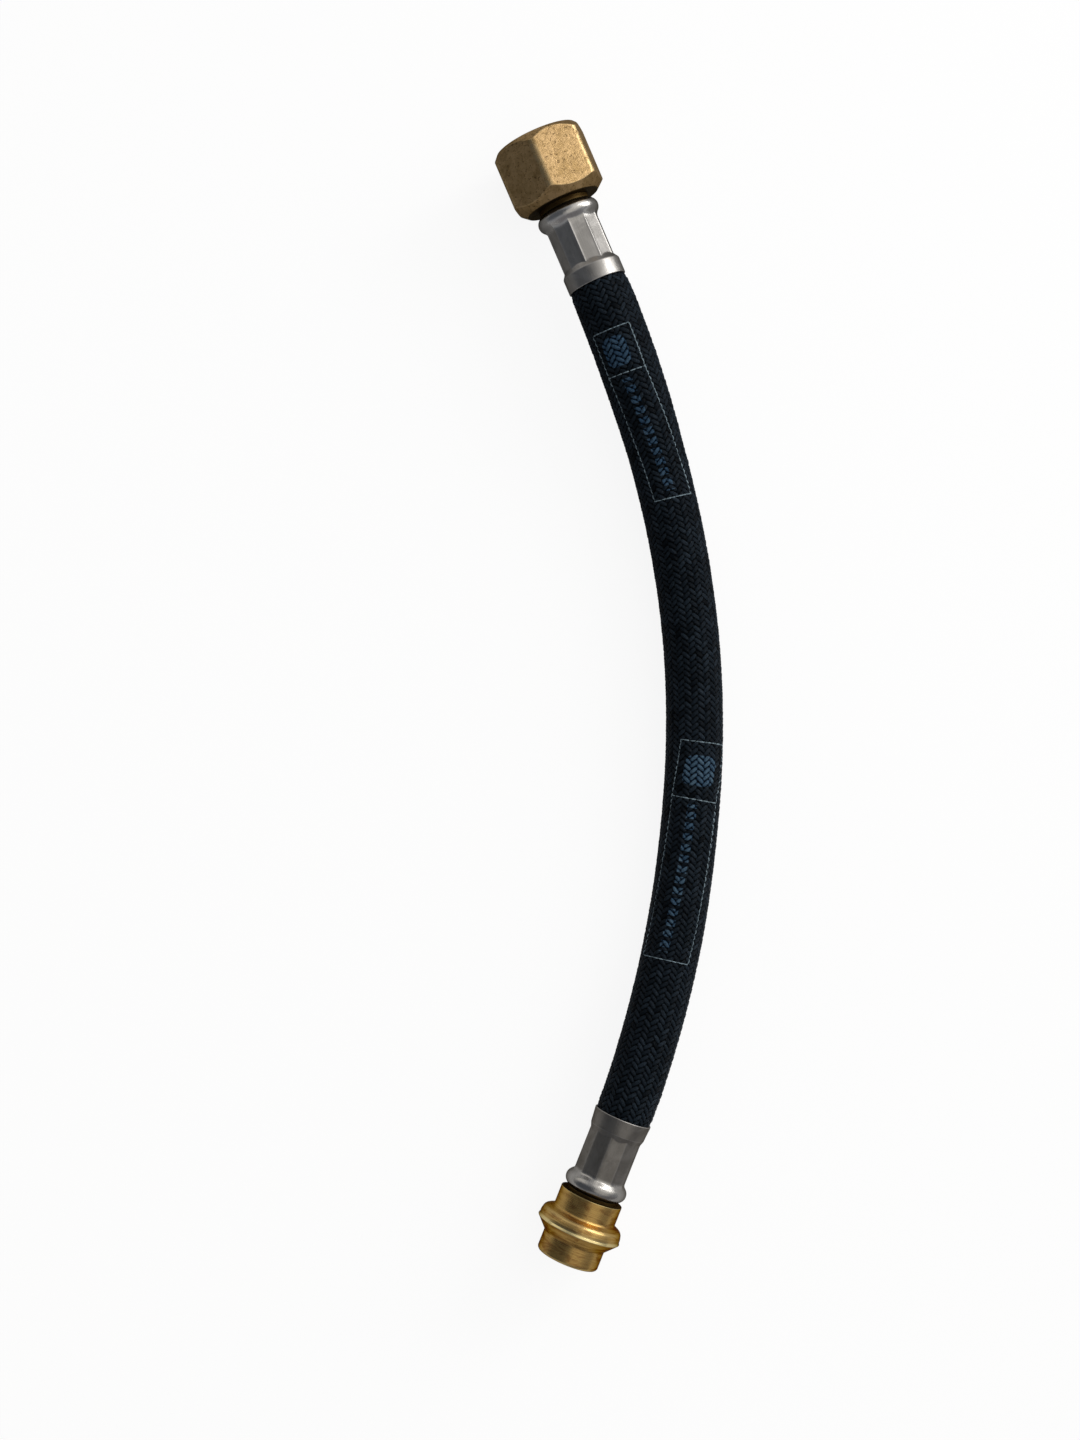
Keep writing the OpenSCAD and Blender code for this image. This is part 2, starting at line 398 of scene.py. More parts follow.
class PrintedPanel(Group):
    """A printed frame of two fields on the hose, with a plain patch in one and plain bars in the other."""

    MIDDLE = 0.46  # share of the panel's width between its left edge and the middle of what is printed in it
    SQUARENESS = 4.0  # power that gives the patch its rounded corners
    BAR_PITCH = 3.1
    BAR_HALF = 0.31  # half a bar's thickness, as a share of the pitch
    BAR_REACH = 1.35  # half its length, round the hose
    CLEAR_END = 2.2  # after the last bar

    def __init__(self) -> None:
        """Makes the group and all its nodes."""
        sides = [f"{side} {part}" for side in ("Left", "Right") for part in ("Start", "Split", "End")]
        sizes = ("Start", "Split", "End", *sides, "Slant", "Patch Width", "Patch Length", "Line")
        inputs = [("Map", "Vector"), *((name, "Float") for name in sizes)]
        super().__init__("printed_panel", inputs, ("Outline", "Fill"))
        self.start, self.split, self.end = (self.given[name] for name in ("Start", "Split", "End"))
        where = self.parts(self.given["Map"])
        slant = self.ramp(where["X"], self.split, self.end, self.given["Slant"], 0.0)
        self.arc = where["Y"]
        self.along = self.plus(where["X"], self.times(self.arc, slant))
        self.left, self.right = self._long_edge("Left"), self._long_edge("Right")
        self.from_middle = self._from_middle()
        self.give("Outline", self._outline())
        self.give("Fill", self.larger(self._patch(), self._bars()))

    def _long_edge(self, side: str) -> bpy.types.NodeSocket:
        """Arc of one long edge, which is straight in each of the two fields.

        Args:
            side: Left or Right.

        Returns:
            The arc's socket.
        """
        start, split, end = (self.given[f"{side} {part}"] for part in ("Start", "Split", "End"))
        first = self.ramp(self.along, self.start, self.split, start, split, smooth=False)
        second = self.ramp(self.along, self.split, self.end, split, end, smooth=False)
        return self.minus(self.plus(first, second), split)

    def _from_middle(self) -> bpy.types.NodeSocket:
        """Distance round the hose from the middle of what is printed in the frame."""
        width = self.minus(self.left, self.right)
        return self.apart(self.arc, self.minus(self.left, self.times(width, self.MIDDLE)))

    def _outline(self) -> bpy.types.NodeSocket:
        """Mask of the frame's two long lines and three cross lines.

        Returns:
            The mask's socket.
        """
        line = self.given["Line"]
        inside_along = self.times(self.above(self.along, self.start), self.below(self.along, self.end))
        inside_arc = self.times(self.below(self.arc, self.left), self.above(self.arc, self.right))
        sides: object = 0.0
        for arc in (self.left, self.right):
            sides = self.larger(sides, self.math("COMPARE", self.arc, arc, line))
        cross: object = 0.0
        for station in (self.start, self.split, self.end):
            cross = self.larger(cross, self.math("COMPARE", self.along, station, line))
        return self.larger(self.times(sides, inside_along), self.times(cross, inside_arc))

    def _patch(self) -> bpy.types.NodeSocket:
        """Mask of the patch: a square with well rounded corners in the middle of the first field.

        Returns:
            The mask's socket.
        """
        middle = self.times(self.plus(self.start, self.split), 0.5)
        across = self.over(self.from_middle, self.given["Patch Width"])
        length = self.over(self.apart(self.along, middle), self.given["Patch Length"])
        reach = self.plus(*(self.math("POWER", part, self.SQUARENESS) for part in (across, length)))
        return self.below(reach, 1.0)

    def _bars(self) -> bpy.types.NodeSocket:
        """Mask of the row of bars down the second field.

        Returns:
            The mask's socket.
        """
        run = self.over(self.minus(self.along, self.split), self.BAR_PITCH)
        bar = self.below(self.apart(self.math("FRACT", run), 0.5), self.BAR_HALF)
        row = self.times(self.above(run, 0.5), self.below(self.along, self.minus(self.end, self.CLEAR_END)))
        return self.times(self.times(bar, row), self.below(self.from_middle, self.BAR_REACH))


class Effects:
    """Shader effects that several finishes or places share, each built once as a node group."""

    FINER = (3.1, 3.1, 3.1)  # how much closer together the fine grains are than the coarse ones
    COARSE, FINE = 0.55, 0.45  # their shares
    PITS_FROM = 0.5  # grain under which pits start where they are dense,
    SPARSER = 0.12  # by how much it is lower where they are sparse,
    PIT_SLOPE = 0.09  # and how far under it a pit is full
    RINGS = ((5.0, 0.5), (11.0, 0.3), (1.7, 0.2))  # turning rings to a millimetre, and their shares
    FACE_RINGS = 0.7  # share of them to a millimetre on a face across the axis

    @staticmethod
    @cache
    def pitting() -> bpy.types.NodeTree:
        """Dark pits and grains of a hot-pressed or tarnished surface.

        Returns:
            The effect's node group.
        """
        group = Group("pitting", (("Place", "Vector"), ("Sparseness", "Float")), ("Pits", "Grain"))
        place = group.given["Place"]
        coarse = group.noise(place, 1.0, detail=2.0, rough=0.5, warp=0.6)
        fine = group.noise(group.stretch(place, Effects.FINER), 1.0, detail=2.0, rough=0.6)
        grain = group.plus(group.times(coarse, Effects.COARSE), group.times(fine, Effects.FINE))
        level = group.minus(Effects.PITS_FROM, group.times(group.given["Sparseness"], Effects.SPARSER))
        group.give("Pits", group.ramp(grain, level, group.minus(level, Effects.PIT_SLOPE)))
        group.give("Grain", grain)
        return group.tree

    @staticmethod
    @cache
    def turning() -> bpy.types.NodeTree:
        """Fine rings that a lathe leaves, read along the station of the surface map.

        Returns:
            The effect's node group.
        """
        group = Group("turning", (("Map", "Vector"),), ("Rings",))
        where = group.parts(group.given["Map"])
        reach = group.plus(where["X"], group.times(where["Z"], Effects.FACE_RINGS))
        total: object = 0.0
        for rings_per_mm, share in Effects.RINGS:
            rings = group.node("TexNoise", noise_dimensions="1D")
            group.feed(rings.inputs["W"], reach)
            group.feed(rings.inputs["Scale"], rings_per_mm)
            group.feed(rings.inputs["Detail"], 1.0)
            total = group.plus(total, group.times(rings.outputs["Fac"], share))
        group.give("Rings", total)
        return group.tree

    @staticmethod
    @cache
    def blotch() -> bpy.types.NodeTree:
        """Soft patches of tarnish between two levels of a noise.

        Returns:
            The effect's node group.
        """
        group = Group("blotch", (("Place", "Vector"), ("Low", "Float"), ("High", "Float")), ("Mask",))
        cloud = group.noise(group.given["Place"], 1.0, detail=4.0, rough=0.6, warp=0.8)
        group.give("Mask", group.ramp(cloud, group.given["Low"], group.given["High"]))
        return group.tree

    @staticmethod
    @cache
    def panel() -> bpy.types.NodeTree:
        """The printed panel's lines, patch and bars."""
        return PrintedPanel().tree


@dataclass(frozen=True)
class Patches:
    """Soft patches all over a finish."""

    per_metre: float
    low: float  # noise level at which they set in
    high: float  # level from which they are full
    cover: float = 1.0  # how strong they are then

    def mask(self, graph: Graph) -> bpy.types.NodeSocket:
        """Adds the patches to a material.

        Args:
            graph: the material's graph.

        Returns:
            The socket of their mask.
        """
        place = graph.place(self.per_metre)
        mask = graph.effect(Effects.blotch(), Place=place, Low=self.low, High=self.high)["Mask"]
        return graph.times(mask, self.cover)


@dataclass(frozen=True)
class Finish:
    """What every finish has: a name, and a Principled material whose constants sit on its own sockets."""

    name: str

    def start(self, **constants: object) -> tuple[bpy.types.Material, Graph, bpy.types.Node]:
        """Makes the material with its shader and output.

        Args:
            constants: Principled inputs by name, with underscores for spaces.

        Returns:
            The material, its graph and its Principled node.
        """
        material = bpy.data.materials.new(self.name)
        material.use_nodes = True
        material.node_tree.nodes.clear()
        graph = Graph(material.node_tree)
        shader = graph.node("BsdfPrincipled")
        output = graph.node("OutputMaterial")
        graph.feed(output.inputs[0], shader.outputs[0])
        for key, value in constants.items():
            graph.feed(shader.inputs[key.replace("_", " ")], value)
        return material, graph, shader


@dataclass(frozen=True)
class PressedBrass(Finish):
    """Hot-pressed brass: pitted, tarnished in patches, worn bright on its edges with a painted highlight
    there, and painted shade on its back face.
    """

    bright: Colour = linear("c8a778")
    dull: Colour = linear("a48658")
    pit: Colour = linear("5a4428")
    # worn-bright colour of the edges, which also paints a highlight on them
    rubbed: Colour = linear("e8cf9c")
    # painted shade for the back face, which looks into the narrow gap before the ferrule's bead
    gap_shade: Colour = linear("1d150b")
    tint: Colour = linear("b4b0a6")
    metallic: float = 0.92
    pits_per_metre: float = 950.0
    sparse: float = 0.42  # how few the pits are, from 0 to 1
    pit_cover: float = 0.72
    patches: Patches = Patches(190.0, 0.4, 0.62, 0.5)
    mottles: Patches = Patches(520.0, 0.42, 0.6, 0.45)
    edge_grain: Pair = (0.36, 0.56)  # grain levels between which an edge is worn bright and painted with a highlight
    edge_cover: float = 0.45
    edge_shine: float = 0.14  # by which it is less rough
    gap_shade_cover: float = 0.9
    gap_shade_to: float = 24.53  # station up to which the metal is darkened with painted shade
    gap_shade_fades: float = 0.2  # length over which the painted shade ends
    rough: Fade = (0.3, 0.62, 0.56, 0.38)
    depth: float = 0.0002  # of the grain, in metres
    relief: float = 0.55

    def material(self) -> bpy.types.Material:
        """Builds the material.

        Returns:
            The new material.
        """
        material, graph, shader = self.start(Metallic=self.metallic, Specular_Tint=self.tint)
        station = graph.parts(graph.attribute(SKIN, "Vector"))["X"]
        # painted shade: the back face goes dark where it faces the gap
        gap_shaded = graph.ramp(station, self.gap_shade_to, self.gap_shade_to + self.gap_shade_fades, self.gap_shade_cover, 0.0)
        place = graph.place(self.pits_per_metre)
        pits = graph.effect(Effects.pitting(), Place=place, Sparseness=self.sparse)
        edge = graph.times(graph.attribute(EDGE), graph.ramp(pits["Grain"], *self.edge_grain))
        tarnish = graph.plus(self.patches.mask(graph), self.mottles.mask(graph))
        colour = graph.mix(tarnish, self.bright, self.dull)
        colour = graph.mix(graph.times(pits["Pits"], self.pit_cover), colour, self.pit)
        # the edges: worn bright, and a painted highlight
        colour = graph.mix(graph.times(edge, self.edge_cover), colour, self.rubbed)
        graph.feed(shader.inputs["Base Color"], graph.mix(gap_shaded, colour, self.gap_shade))
        rough = graph.ramp(pits["Grain"], *self.rough)
        graph.feed(shader.inputs["Roughness"], graph.minus(rough, graph.times(edge, self.edge_shine)))
        graph.feed(shader.inputs["Normal"], graph.bump(pits["Grain"], self.depth, self.relief))
        return material


@dataclass(frozen=True)
class TurnedBrass(Finish):
    """Brass off the lathe: fine rings, a brown bloom in patches, edges worn bright with a painted highlight,
    and painted shade on the faces that lie in a gap.
    """

    bright: Colour = linear("d6b06a")
    bloom: Colour = linear("8a5a30")
    # worn-bright colour of the edges, which also paints a highlight on them
    rubbed: Colour = linear("fbe6a8")
    # painted shade for the collar's back face in the gap behind it, and for a hub that lies in a gap
    gap_shade: Colour = linear("21170c")
    tint: Colour = linear("7e664a")
    streaks: Triple = (0.5, 0.16, 0.3)  # of bloom, to a millimetre each way of the map
    bloom_levels: Pair = (0.44, 0.66)
    bloom_cover: float = 0.7
    ring_cover: Fade = (0.42, 0.62, 0.0, 0.35)  # of the bloom in the rings
    edge_cover: float = 0.9
    edge_shine: float = 0.14  # by which a rubbed edge is less rough
    gap_shade_cover: float = 0.88
    gap_shade_dulls: float = 0.3  # by which the part with painted shade is rougher
    gap_shade_to: float = 24.03  # station up to which the metal is darkened with painted shade
    gap_shade_fades: float = 0.08  # length over which the painted shade ends
    rough: Fade = (0.35, 0.65, 0.22, 0.34)
    depth: float = 0.00006  # of the rings, in metres
    relief: float = 0.8

    def material(self) -> bpy.types.Material:
        """Builds the material.

        Returns:
            The new material.
        """
        material, graph, shader = self.start(Metallic=1.0, Specular_Tint=self.tint)
        surface = graph.attribute(SKIN, "Vector")
        station = graph.parts(surface)["X"]
        # painted shade on the faces that lie in a gap, up to a station
        gap_shaded = graph.ramp(station, self.gap_shade_to, self.gap_shade_to + self.gap_shade_fades, 1.0, 0.0)
        rings = graph.effect(Effects.turning(), Map=surface)["Rings"]
        low, high = self.bloom_levels
        place = graph.stretch(surface, self.streaks)
        bloom = graph.effect(Effects.blotch(), Place=place, Low=low, High=high)["Mask"]
        edge = graph.times(graph.attribute(EDGE), self.edge_cover)
        colour = graph.mix(graph.times(bloom, self.bloom_cover), self.bright, self.bloom)
        colour = graph.mix(graph.ramp(rings, *self.ring_cover), colour, self.bloom)
        # the edges: worn bright, and a painted highlight
        colour = graph.mix(edge, colour, self.rubbed)
        colour = graph.mix(graph.times(gap_shaded, self.gap_shade_cover), colour, self.gap_shade)
        graph.feed(shader.inputs["Base Color"], colour)
        rough = graph.plus(graph.ramp(rings, *self.rough), graph.times(gap_shaded, self.gap_shade_dulls))
        graph.feed(shader.inputs["Roughness"], graph.minus(rough, graph.times(edge, self.edge_shine)))
        graph.feed(shader.inputs["Normal"], graph.bump(rings, self.depth, self.relief))
        return material


@dataclass(frozen=True)
class DrawnSteel(Finish):
    """Stainless sheet drawn into a sleeve: satin and finely scored along the draw, polished on the bead."""

    bright: Colour = linear("b8b5b1")
    dull: Colour = linear("979490")
    # worn-bright colour of the edges, which also paints a highlight on them
    rubbed: Colour = linear("d8d5d1")
    polished: Colour = linear("d2cfcb")
    tint: Colour = linear("a4a19c")
    patches: Patches = Patches(130.0, 0.4, 0.66, 0.7)
    scores: Triple = (0.35, 4.2, 0.35)  # to a millimetre each way of the map
    score_cover: Fade = (0.55, 0.7, 0.0, 0.35)
    score_depth: float = 0.00004  # in metres
    grains_per_metre: float = 2600.0
    grain_depth: float = 0.00002  # in metres
    relief: float = 0.6
    edge_cover: float = 0.7
    polish: Pair = (17.2, 18.4)  # stations between which the polish of the bead sets in
    polish_cover: Fade = (0.45, 0.7, 0.85, 0.6)  # less on the scores
    shine: float = 0.16  # by which the bead is less rough
    rough: Fade = (0.3, 0.7, 0.3, 0.42)

    def material(self) -> bpy.types.Material:
        """Builds the material.

        Returns:
            The new material.
        """
        material, graph, shader = self.start(Metallic=1.0, Specular_Tint=self.tint)
        surface = graph.attribute(SKIN, "Vector")
        scores = graph.noise(graph.stretch(surface, self.scores), 1.0, rough=0.6)
        grain = graph.noise(graph.place(self.grains_per_metre), 1.0, detail=2.0, rough=0.6)
        bead = graph.ramp(graph.parts(surface)["X"], *self.polish)
        polished = graph.times(bead, graph.ramp(scores, *self.polish_cover))
        colour = graph.mix(self.patches.mask(graph), self.bright, self.dull)
        colour = graph.mix(graph.ramp(scores, *self.score_cover), colour, self.dull)
        colour = graph.mix(polished, colour, self.polished)
        # the edges: worn bright, and a painted highlight
        colour = graph.mix(graph.times(graph.attribute(EDGE), self.edge_cover), colour, self.rubbed)
        graph.feed(shader.inputs["Base Color"], colour)
        rough = graph.minus(graph.ramp(grain, *self.rough), graph.times(bead, self.shine))
        graph.feed(shader.inputs["Roughness"], rough)
        scored = graph.bump(scores, self.score_depth, self.relief)
        graph.feed(shader.inputs["Normal"], graph.bump(grain, self.grain_depth, self.relief, scored))
        return material


@dataclass(frozen=True)
class MouldedRubber(Finish):
    """Dull moulded rubber with a fine bloom."""

    body: Colour = linear("1b1b1c")
    bloom: Colour = linear("3a3937")
    patches: Patches = Patches(220.0, 0.45, 0.7)
    grains_per_metre: float = 1800.0
    rough: Fade = (0.3, 0.7, 0.55, 0.8)
    depth: float = 0.00008  # of the grain, in metres
    relief: float = 0.5

    def material(self) -> bpy.types.Material:
        """Builds the material.

        Returns:
            The new material.
        """
        material, graph, shader = self.start(Metallic=0.0)
        grain = graph.noise(graph.place(self.grains_per_metre), 1.0, rough=0.6)
        colour = graph.mix(self.patches.mask(graph), self.body, self.bloom)
        graph.feed(shader.inputs["Base Color"], colour)
        graph.feed(shader.inputs["Roughness"], graph.ramp(grain, *self.rough))
        graph.feed(shader.inputs["Normal"], graph.bump(grain, self.depth, self.relief))
        return material


@dataclass(frozen=True)
class WoundWire(Finish):
    """Drawn steel wires laid slanting and side by side round a tube."""

    wire: Colour = linear("9a9c9f")
    gap: Colour = linear("2c2d2f")
    gap_width: Pair = (0.1, 0.5)  # heights of the wires' wave between which a gap ends
    slant: float = 1.3
    closeness: float = 9.0  # radians of that wave to a millimetre
    rough: Fade = (0.0, 1.0, 0.6, 0.3)
    depth: float = 0.0001  # of the gaps, in metres
    relief: float = 0.8

    def material(self) -> bpy.types.Material:
        """Builds the material.

        Returns:
            The new material.
        """
        material, graph, shader = self.start(Metallic=1.0)
        where = graph.parts(graph.place(1 / MM))
        slanted = graph.plus(where["Y"], graph.times(where["Z"], self.slant))
        wires = graph.wave(graph.times(slanted, self.closeness))
        colour = graph.mix(graph.ramp(wires, *self.gap_width), self.gap, self.wire)
        graph.feed(shader.inputs["Base Color"], colour)
        graph.feed(shader.inputs["Roughness"], graph.ramp(wires, *self.rough))
        graph.feed(shader.inputs["Normal"], graph.bump(wires, self.depth, self.relief))
        return material


@dataclass(frozen=True)
class PanelPrint:
    """Where one printed panel lies on the hose: stations, and the arcs of its two long edges there."""

    stations: Triple
    left: Triple
    right: Triple
    slant: float = 0.0  # by which its first two cross lines run along the hose, per millimetre of arc
    patch: Pair = (3.4, 4.2)  # half sizes of the patch round the hose and along it
    line: float = 0.13  # half thickness of its lines
    rubbed: float = 0.5  # how far its ink is worn pale on the crowns

    def put(self, graph: Graph, surface: bpy.types.NodeSocket) -> bpy.types.NodeOutputs:
        """Places the panel in a material.

        Args:
            graph: the material's graph.
            surface: the surface map's socket.

        Returns:
            Sockets named Outline and Fill.
        """
        named = {}
        for label, values in (("", self.stations), ("Left_", self.left), ("Right_", self.right)):
            for part, value in zip(("Start", "Split", "End"), values):
                named[label + part] = value
        named.update({"Slant": self.slant, "Patch_Width": self.patch[0], "Patch_Length": self.patch[1]})
        return graph.effect(Effects.panel(), Map=surface, Line=self.line, **named)


@dataclass(frozen=True)
class BraidedYarn(Finish):
    """Black textile yarn of many filaments, with two thinly printed panels on its crowns."""

    yarn: Colour = linear("050c13")
    light: Colour = linear("323e4a")
    # painted shade for the hollows where a yarn dives, and for the backing between the yarns
    hollow: Colour = linear("010203")
    ink: Colour = linear("23476a")
    worn_ink: Colour = linear("7290a4")
    outline: Colour = linear("a9bfca")
    panels: tuple[PanelPrint, ...] = ()
    gloss: float = 0.08
    filaments: float = 9.0  # across a yarn
    stray: float = 1.6  # filaments by which they wander
    strands_per_metre: float = 2400.0
    strand_light: Fade = (0.3, 0.7, 0.5, 1.0)
    ridge_light: Fade = (0.0, 1.0, 0.35, 1.0)
    out_of_painted_shade: Pair = (0.42, 0.78)  # crown levels between which a yarn comes out of the painted shade at its edges and ends
    ink_taken: Pair = (0.45, 0.8)  # crown levels between which it takes ink, in the patch and bars
    line_taken: Pair = (0.3, 0.6)  # and in the lines
    ink_worn: Pair = (0.55, 0.95)  # crown levels between which the ink is worn
    ink_patchy: Fade = (0.34, 0.55, 0.45, 1.0)  # with the strands
    pale_tones: Fade = (0.0, 1.0, 0.4, 1.0)  # how worn the darkest and the lightest yarns are
    ink_cover: float = 0.8
    rough: Fade = (0.0, 1.0, 0.55, 0.36)
    depth: float = 0.00006  # between the filaments, in metres
    relief: float = 0.8

    def material(self) -> bpy.types.Material:
        """Builds the material.

        Returns:
            The new material.
        """
        material, graph, shader = self.start(Metallic=0.0, Specular_IOR_Level=self.gloss)
        crown, tone = graph.attribute(CROWN), graph.attribute(TONE)
        strand = graph.noise(graph.place(self.strands_per_metre), 1.0, detail=2.0, rough=0.6)
        across = graph.times(graph.attribute(ACROSS), self.filaments)
        thread = graph.plus(across, graph.times(strand, self.stray))
        ridges = graph.wave(graph.times(thread, math.pi / 2))
        lit = graph.times(tone, graph.ramp(strand, *self.strand_light))
        # the filaments' crests are painted lighter than the grooves between them: a painted sheen, on top of
        # the yarn's own tone and strands
        lit = graph.times(lit, graph.ramp(ridges, *self.ridge_light))
        colour = graph.mix(lit, self.yarn, self.light)
        # painted shade: a yarn goes dark towards its edges and where it dives
        colour = graph.mix(graph.ramp(crown, *self.out_of_painted_shade), self.hollow, colour)
        colour = self._print(graph, colour, crown, tone, strand)
        graph.feed(shader.inputs["Base Color"], colour)
        graph.feed(shader.inputs["Roughness"], graph.ramp(ridges, *self.rough))
        graph.feed(shader.inputs["Normal"], graph.bump(ridges, self.depth, self.relief))
        return material

    def _print(self, graph: Graph, colour: object, crown: object, tone: object, strand: object) -> object:
        """Prints the panels on the yarn.

        Args:
            graph: the material's graph.
            colour: the bare yarn's colour.
            crown: how high the yarn is there.
            tone: how light it is.
            strand: noise along its filaments.

        Returns:
            The printed colour's socket.
        """
        surface = graph.attribute(SKIN, "Vector")
        outline: object = 0.0
        inked: object = 0.0
        pale: object = 0.0
        for panel in self.panels:
            put = panel.put(graph, surface)
            outline = graph.larger(outline, put["Outline"])
            inked = graph.larger(inked, put["Fill"])
            pale = graph.larger(pale, graph.times(put["Fill"], panel.rubbed))
        patchy = graph.ramp(strand, *self.ink_patchy)
        taken = graph.times(graph.ramp(crown, *self.ink_taken), patchy)
        thin = graph.times(graph.ramp(crown, *self.line_taken), patchy)
        pale = graph.times(pale, graph.ramp(tone, *self.pale_tones, smooth=False))
        ink = graph.mix(graph.times(graph.ramp(crown, *self.ink_worn), pale), self.ink, self.worn_ink)
        colour = graph.mix(graph.times(graph.times(inked, taken), self.ink_cover), colour, ink)
        return graph.mix(graph.times(graph.times(outline, thin), self.ink_cover), colour, self.outline)


# ---------------------------------------------------------------------------------------------
# Mesh building
# ---------------------------------------------------------------------------------------------


def mesh_object(
    name: str, points: np.ndarray, faces: np.ndarray, numbers: dict[str, np.ndarray]
) -> bpy.types.Object:
    """Makes a smooth-shaded object of quadrilaterals.

    Args:
        name: the piece's name.
        points: vertices in metres, one row each.
        faces: four vertex numbers per face.
        numbers: attributes by name, one value or one vector per vertex.

    Returns:
        The new object, linked to the scene.
    """
    mesh = bpy.data.meshes.new(name)
    mesh.vertices.add(len(points))
    mesh.vertices.foreach_set("co", points.astype(np.float32).ravel())
    mesh.loops.add(faces.size)
    mesh.loops.foreach_set("vertex_index", faces.astype(np.int32).ravel())
    mesh.polygons.add(len(faces))
    mesh.polygons.foreach_set("loop_start", np.arange(0, faces.size, 4, dtype=np.int32))
    mesh.update(calc_edges=True)
    mesh.shade_smooth()
    for label, values in numbers.items():
        vector = values.ndim == 2
        made = mesh.attributes.new(label, "FLOAT_VECTOR" if vector else "FLOAT", "POINT")
        made.data.foreach_set("vector" if vector else "value", values.astype(np.float32).ravel())
    mesh.validate()
    piece = bpy.data.objects.new(name, mesh)
    bpy.context.scene.collection.objects.link(piece)
    return piece


def loop_faces(rows: int, columns: int) -> np.ndarray:
    """Faces of a grid that is closed both ways, as on a ring of closed sections.

    Args:
        rows: how many sections there are.
        columns: points in each.

    Returns:
        Four vertex numbers per face.
    """
    row = np.arange(rows)[:, None] + np.zeros(columns, int)
    column = np.arange(columns) + np.zeros((rows, 1), int)
    next_row, next_column = (row + 1) % rows, (column + 1) % columns
    corners = ((row, column), (row, next_column), (next_row, next_column), (next_row, column))
    return np.stack([a * columns + b for a, b in corners], axis=-1).reshape(-1, 4)


def grid_faces(grids: int, rows: int, columns: int) -> np.ndarray:
    """Faces of separate open grids of points.

    Args:
        grids: how many there are.
        rows: rows of each.
        columns: points in each row.

    Returns:
        Four vertex numbers per face.
    """
    cell = (np.arange(rows - 1)[:, None] * columns + np.arange(columns - 1)).reshape(-1)
    quads = np.stack([cell, cell + 1, cell + columns + 1, cell + columns], axis=-1)
    return (quads + (np.arange(grids) * rows * columns)[:, None, None]).reshape(-1, 4)


def outward(points: np.ndarray, faces: np.ndarray) -> np.ndarray:
    """Turns the faces of a closed mesh over if its volume comes out negative.

    Args:
        points: its vertices.
        faces: four vertex numbers per face.

    Returns:
        The faces, turned outwards.
    """
    a, b, c, d = (points[faces[:, k]] for k in range(4))
    volume = (a * np.cross(b, c)).sum() + (a * np.cross(c, d)).sum()
    return faces if volume > 0 else faces[:, ::-1]


class Corner(NamedTuple):
    """A corner of a half section, and the radius of the round on it; with 0 it stays sharp."""

    radius: float
    station: float
    round: float = 0.0


def round_off(
    corner: np.ndarray, back: np.ndarray, on: np.ndarray, radius: float, steps: int
) -> tuple[list[np.ndarray], float]:
    """Rounds one corner with an arc that touches both its sides.

    Args:
        corner: its place.
        back: the way from it to the corner before.
        on: the way from it to the next one.
        radius: the arc's radius, where the sides are long enough for it.
        steps: points on the arc.

    Returns:
        The arc's points, and its true radius.
    """
    long_back, long_on = float(np.linalg.norm(back)), float(np.linalg.norm(on))
    back, on = back / long_back, on / long_on
    half = math.acos(max(-1.0, min(1.0, float(back @ on)))) / 2
    cut = min(radius / math.tan(half), MOST_CUT * min(long_back, long_on))
    true_radius = cut * math.tan(half)
    middle = back + on
    middle = middle / np.linalg.norm(middle) * (cut / math.cos(half))
    points = []
    for step in range(steps):
        share = step / (steps - 1)
        towards = (back * cut) * (1 - share) + (on * cut) * share - middle
        points.append(corner + middle + towards / np.linalg.norm(towards) * true_radius)
    return points, true_radius


def rounded(corners: Sequence[Corner], steps: int) -> tuple[np.ndarray, np.ndarray]:
    """Rounds the corners of a closed half section.

    Args:
        corners: its corners, in order; a sharp one is one point.
        steps: points on each round.

    Returns:
        The section's points, and for each how much a convex round is worn bright and painted with a highlight
        there, from 0 to 1.
    """
    given = np.array([corner[:2] for corner in corners], float)
    after = np.roll(given, -1, axis=0)
    area = float((given[:, 0] * after[:, 1] - after[:, 0] * given[:, 1]).sum()) / 2
    out: list[np.ndarray] = []
    bright: list[float] = []
    waves = [math.sin(math.pi * step / (steps - 1)) ** 0.5 for step in range(1, steps - 1)]
    for k, here in enumerate(given):
        radius = corners[k].round
        back, on = given[k - 1] - here, given[(k + 1) % len(given)] - here
        if radius <= 0 or min(np.linalg.norm(back), np.linalg.norm(on)) < SHORTEST:
            out.append(here)
            bright.append(0.0)
            continue
        points, true_radius = round_off(here, back, on, radius, steps)
        convex = (back[0] * on[1] - back[1] * on[0]) * area < 0
        # a convex round is worn bright and painted with a highlight, less on larger rounds
        wear_and_highlight = min(1.0, WEAR_AND_HIGHLIGHT_ROUND / true_radius) if convex else 0.0
        out += points
        bright += [0.0, *(wear_and_highlight * wave for wave in waves), 0.0]
    return np.array(out), np.array(bright)


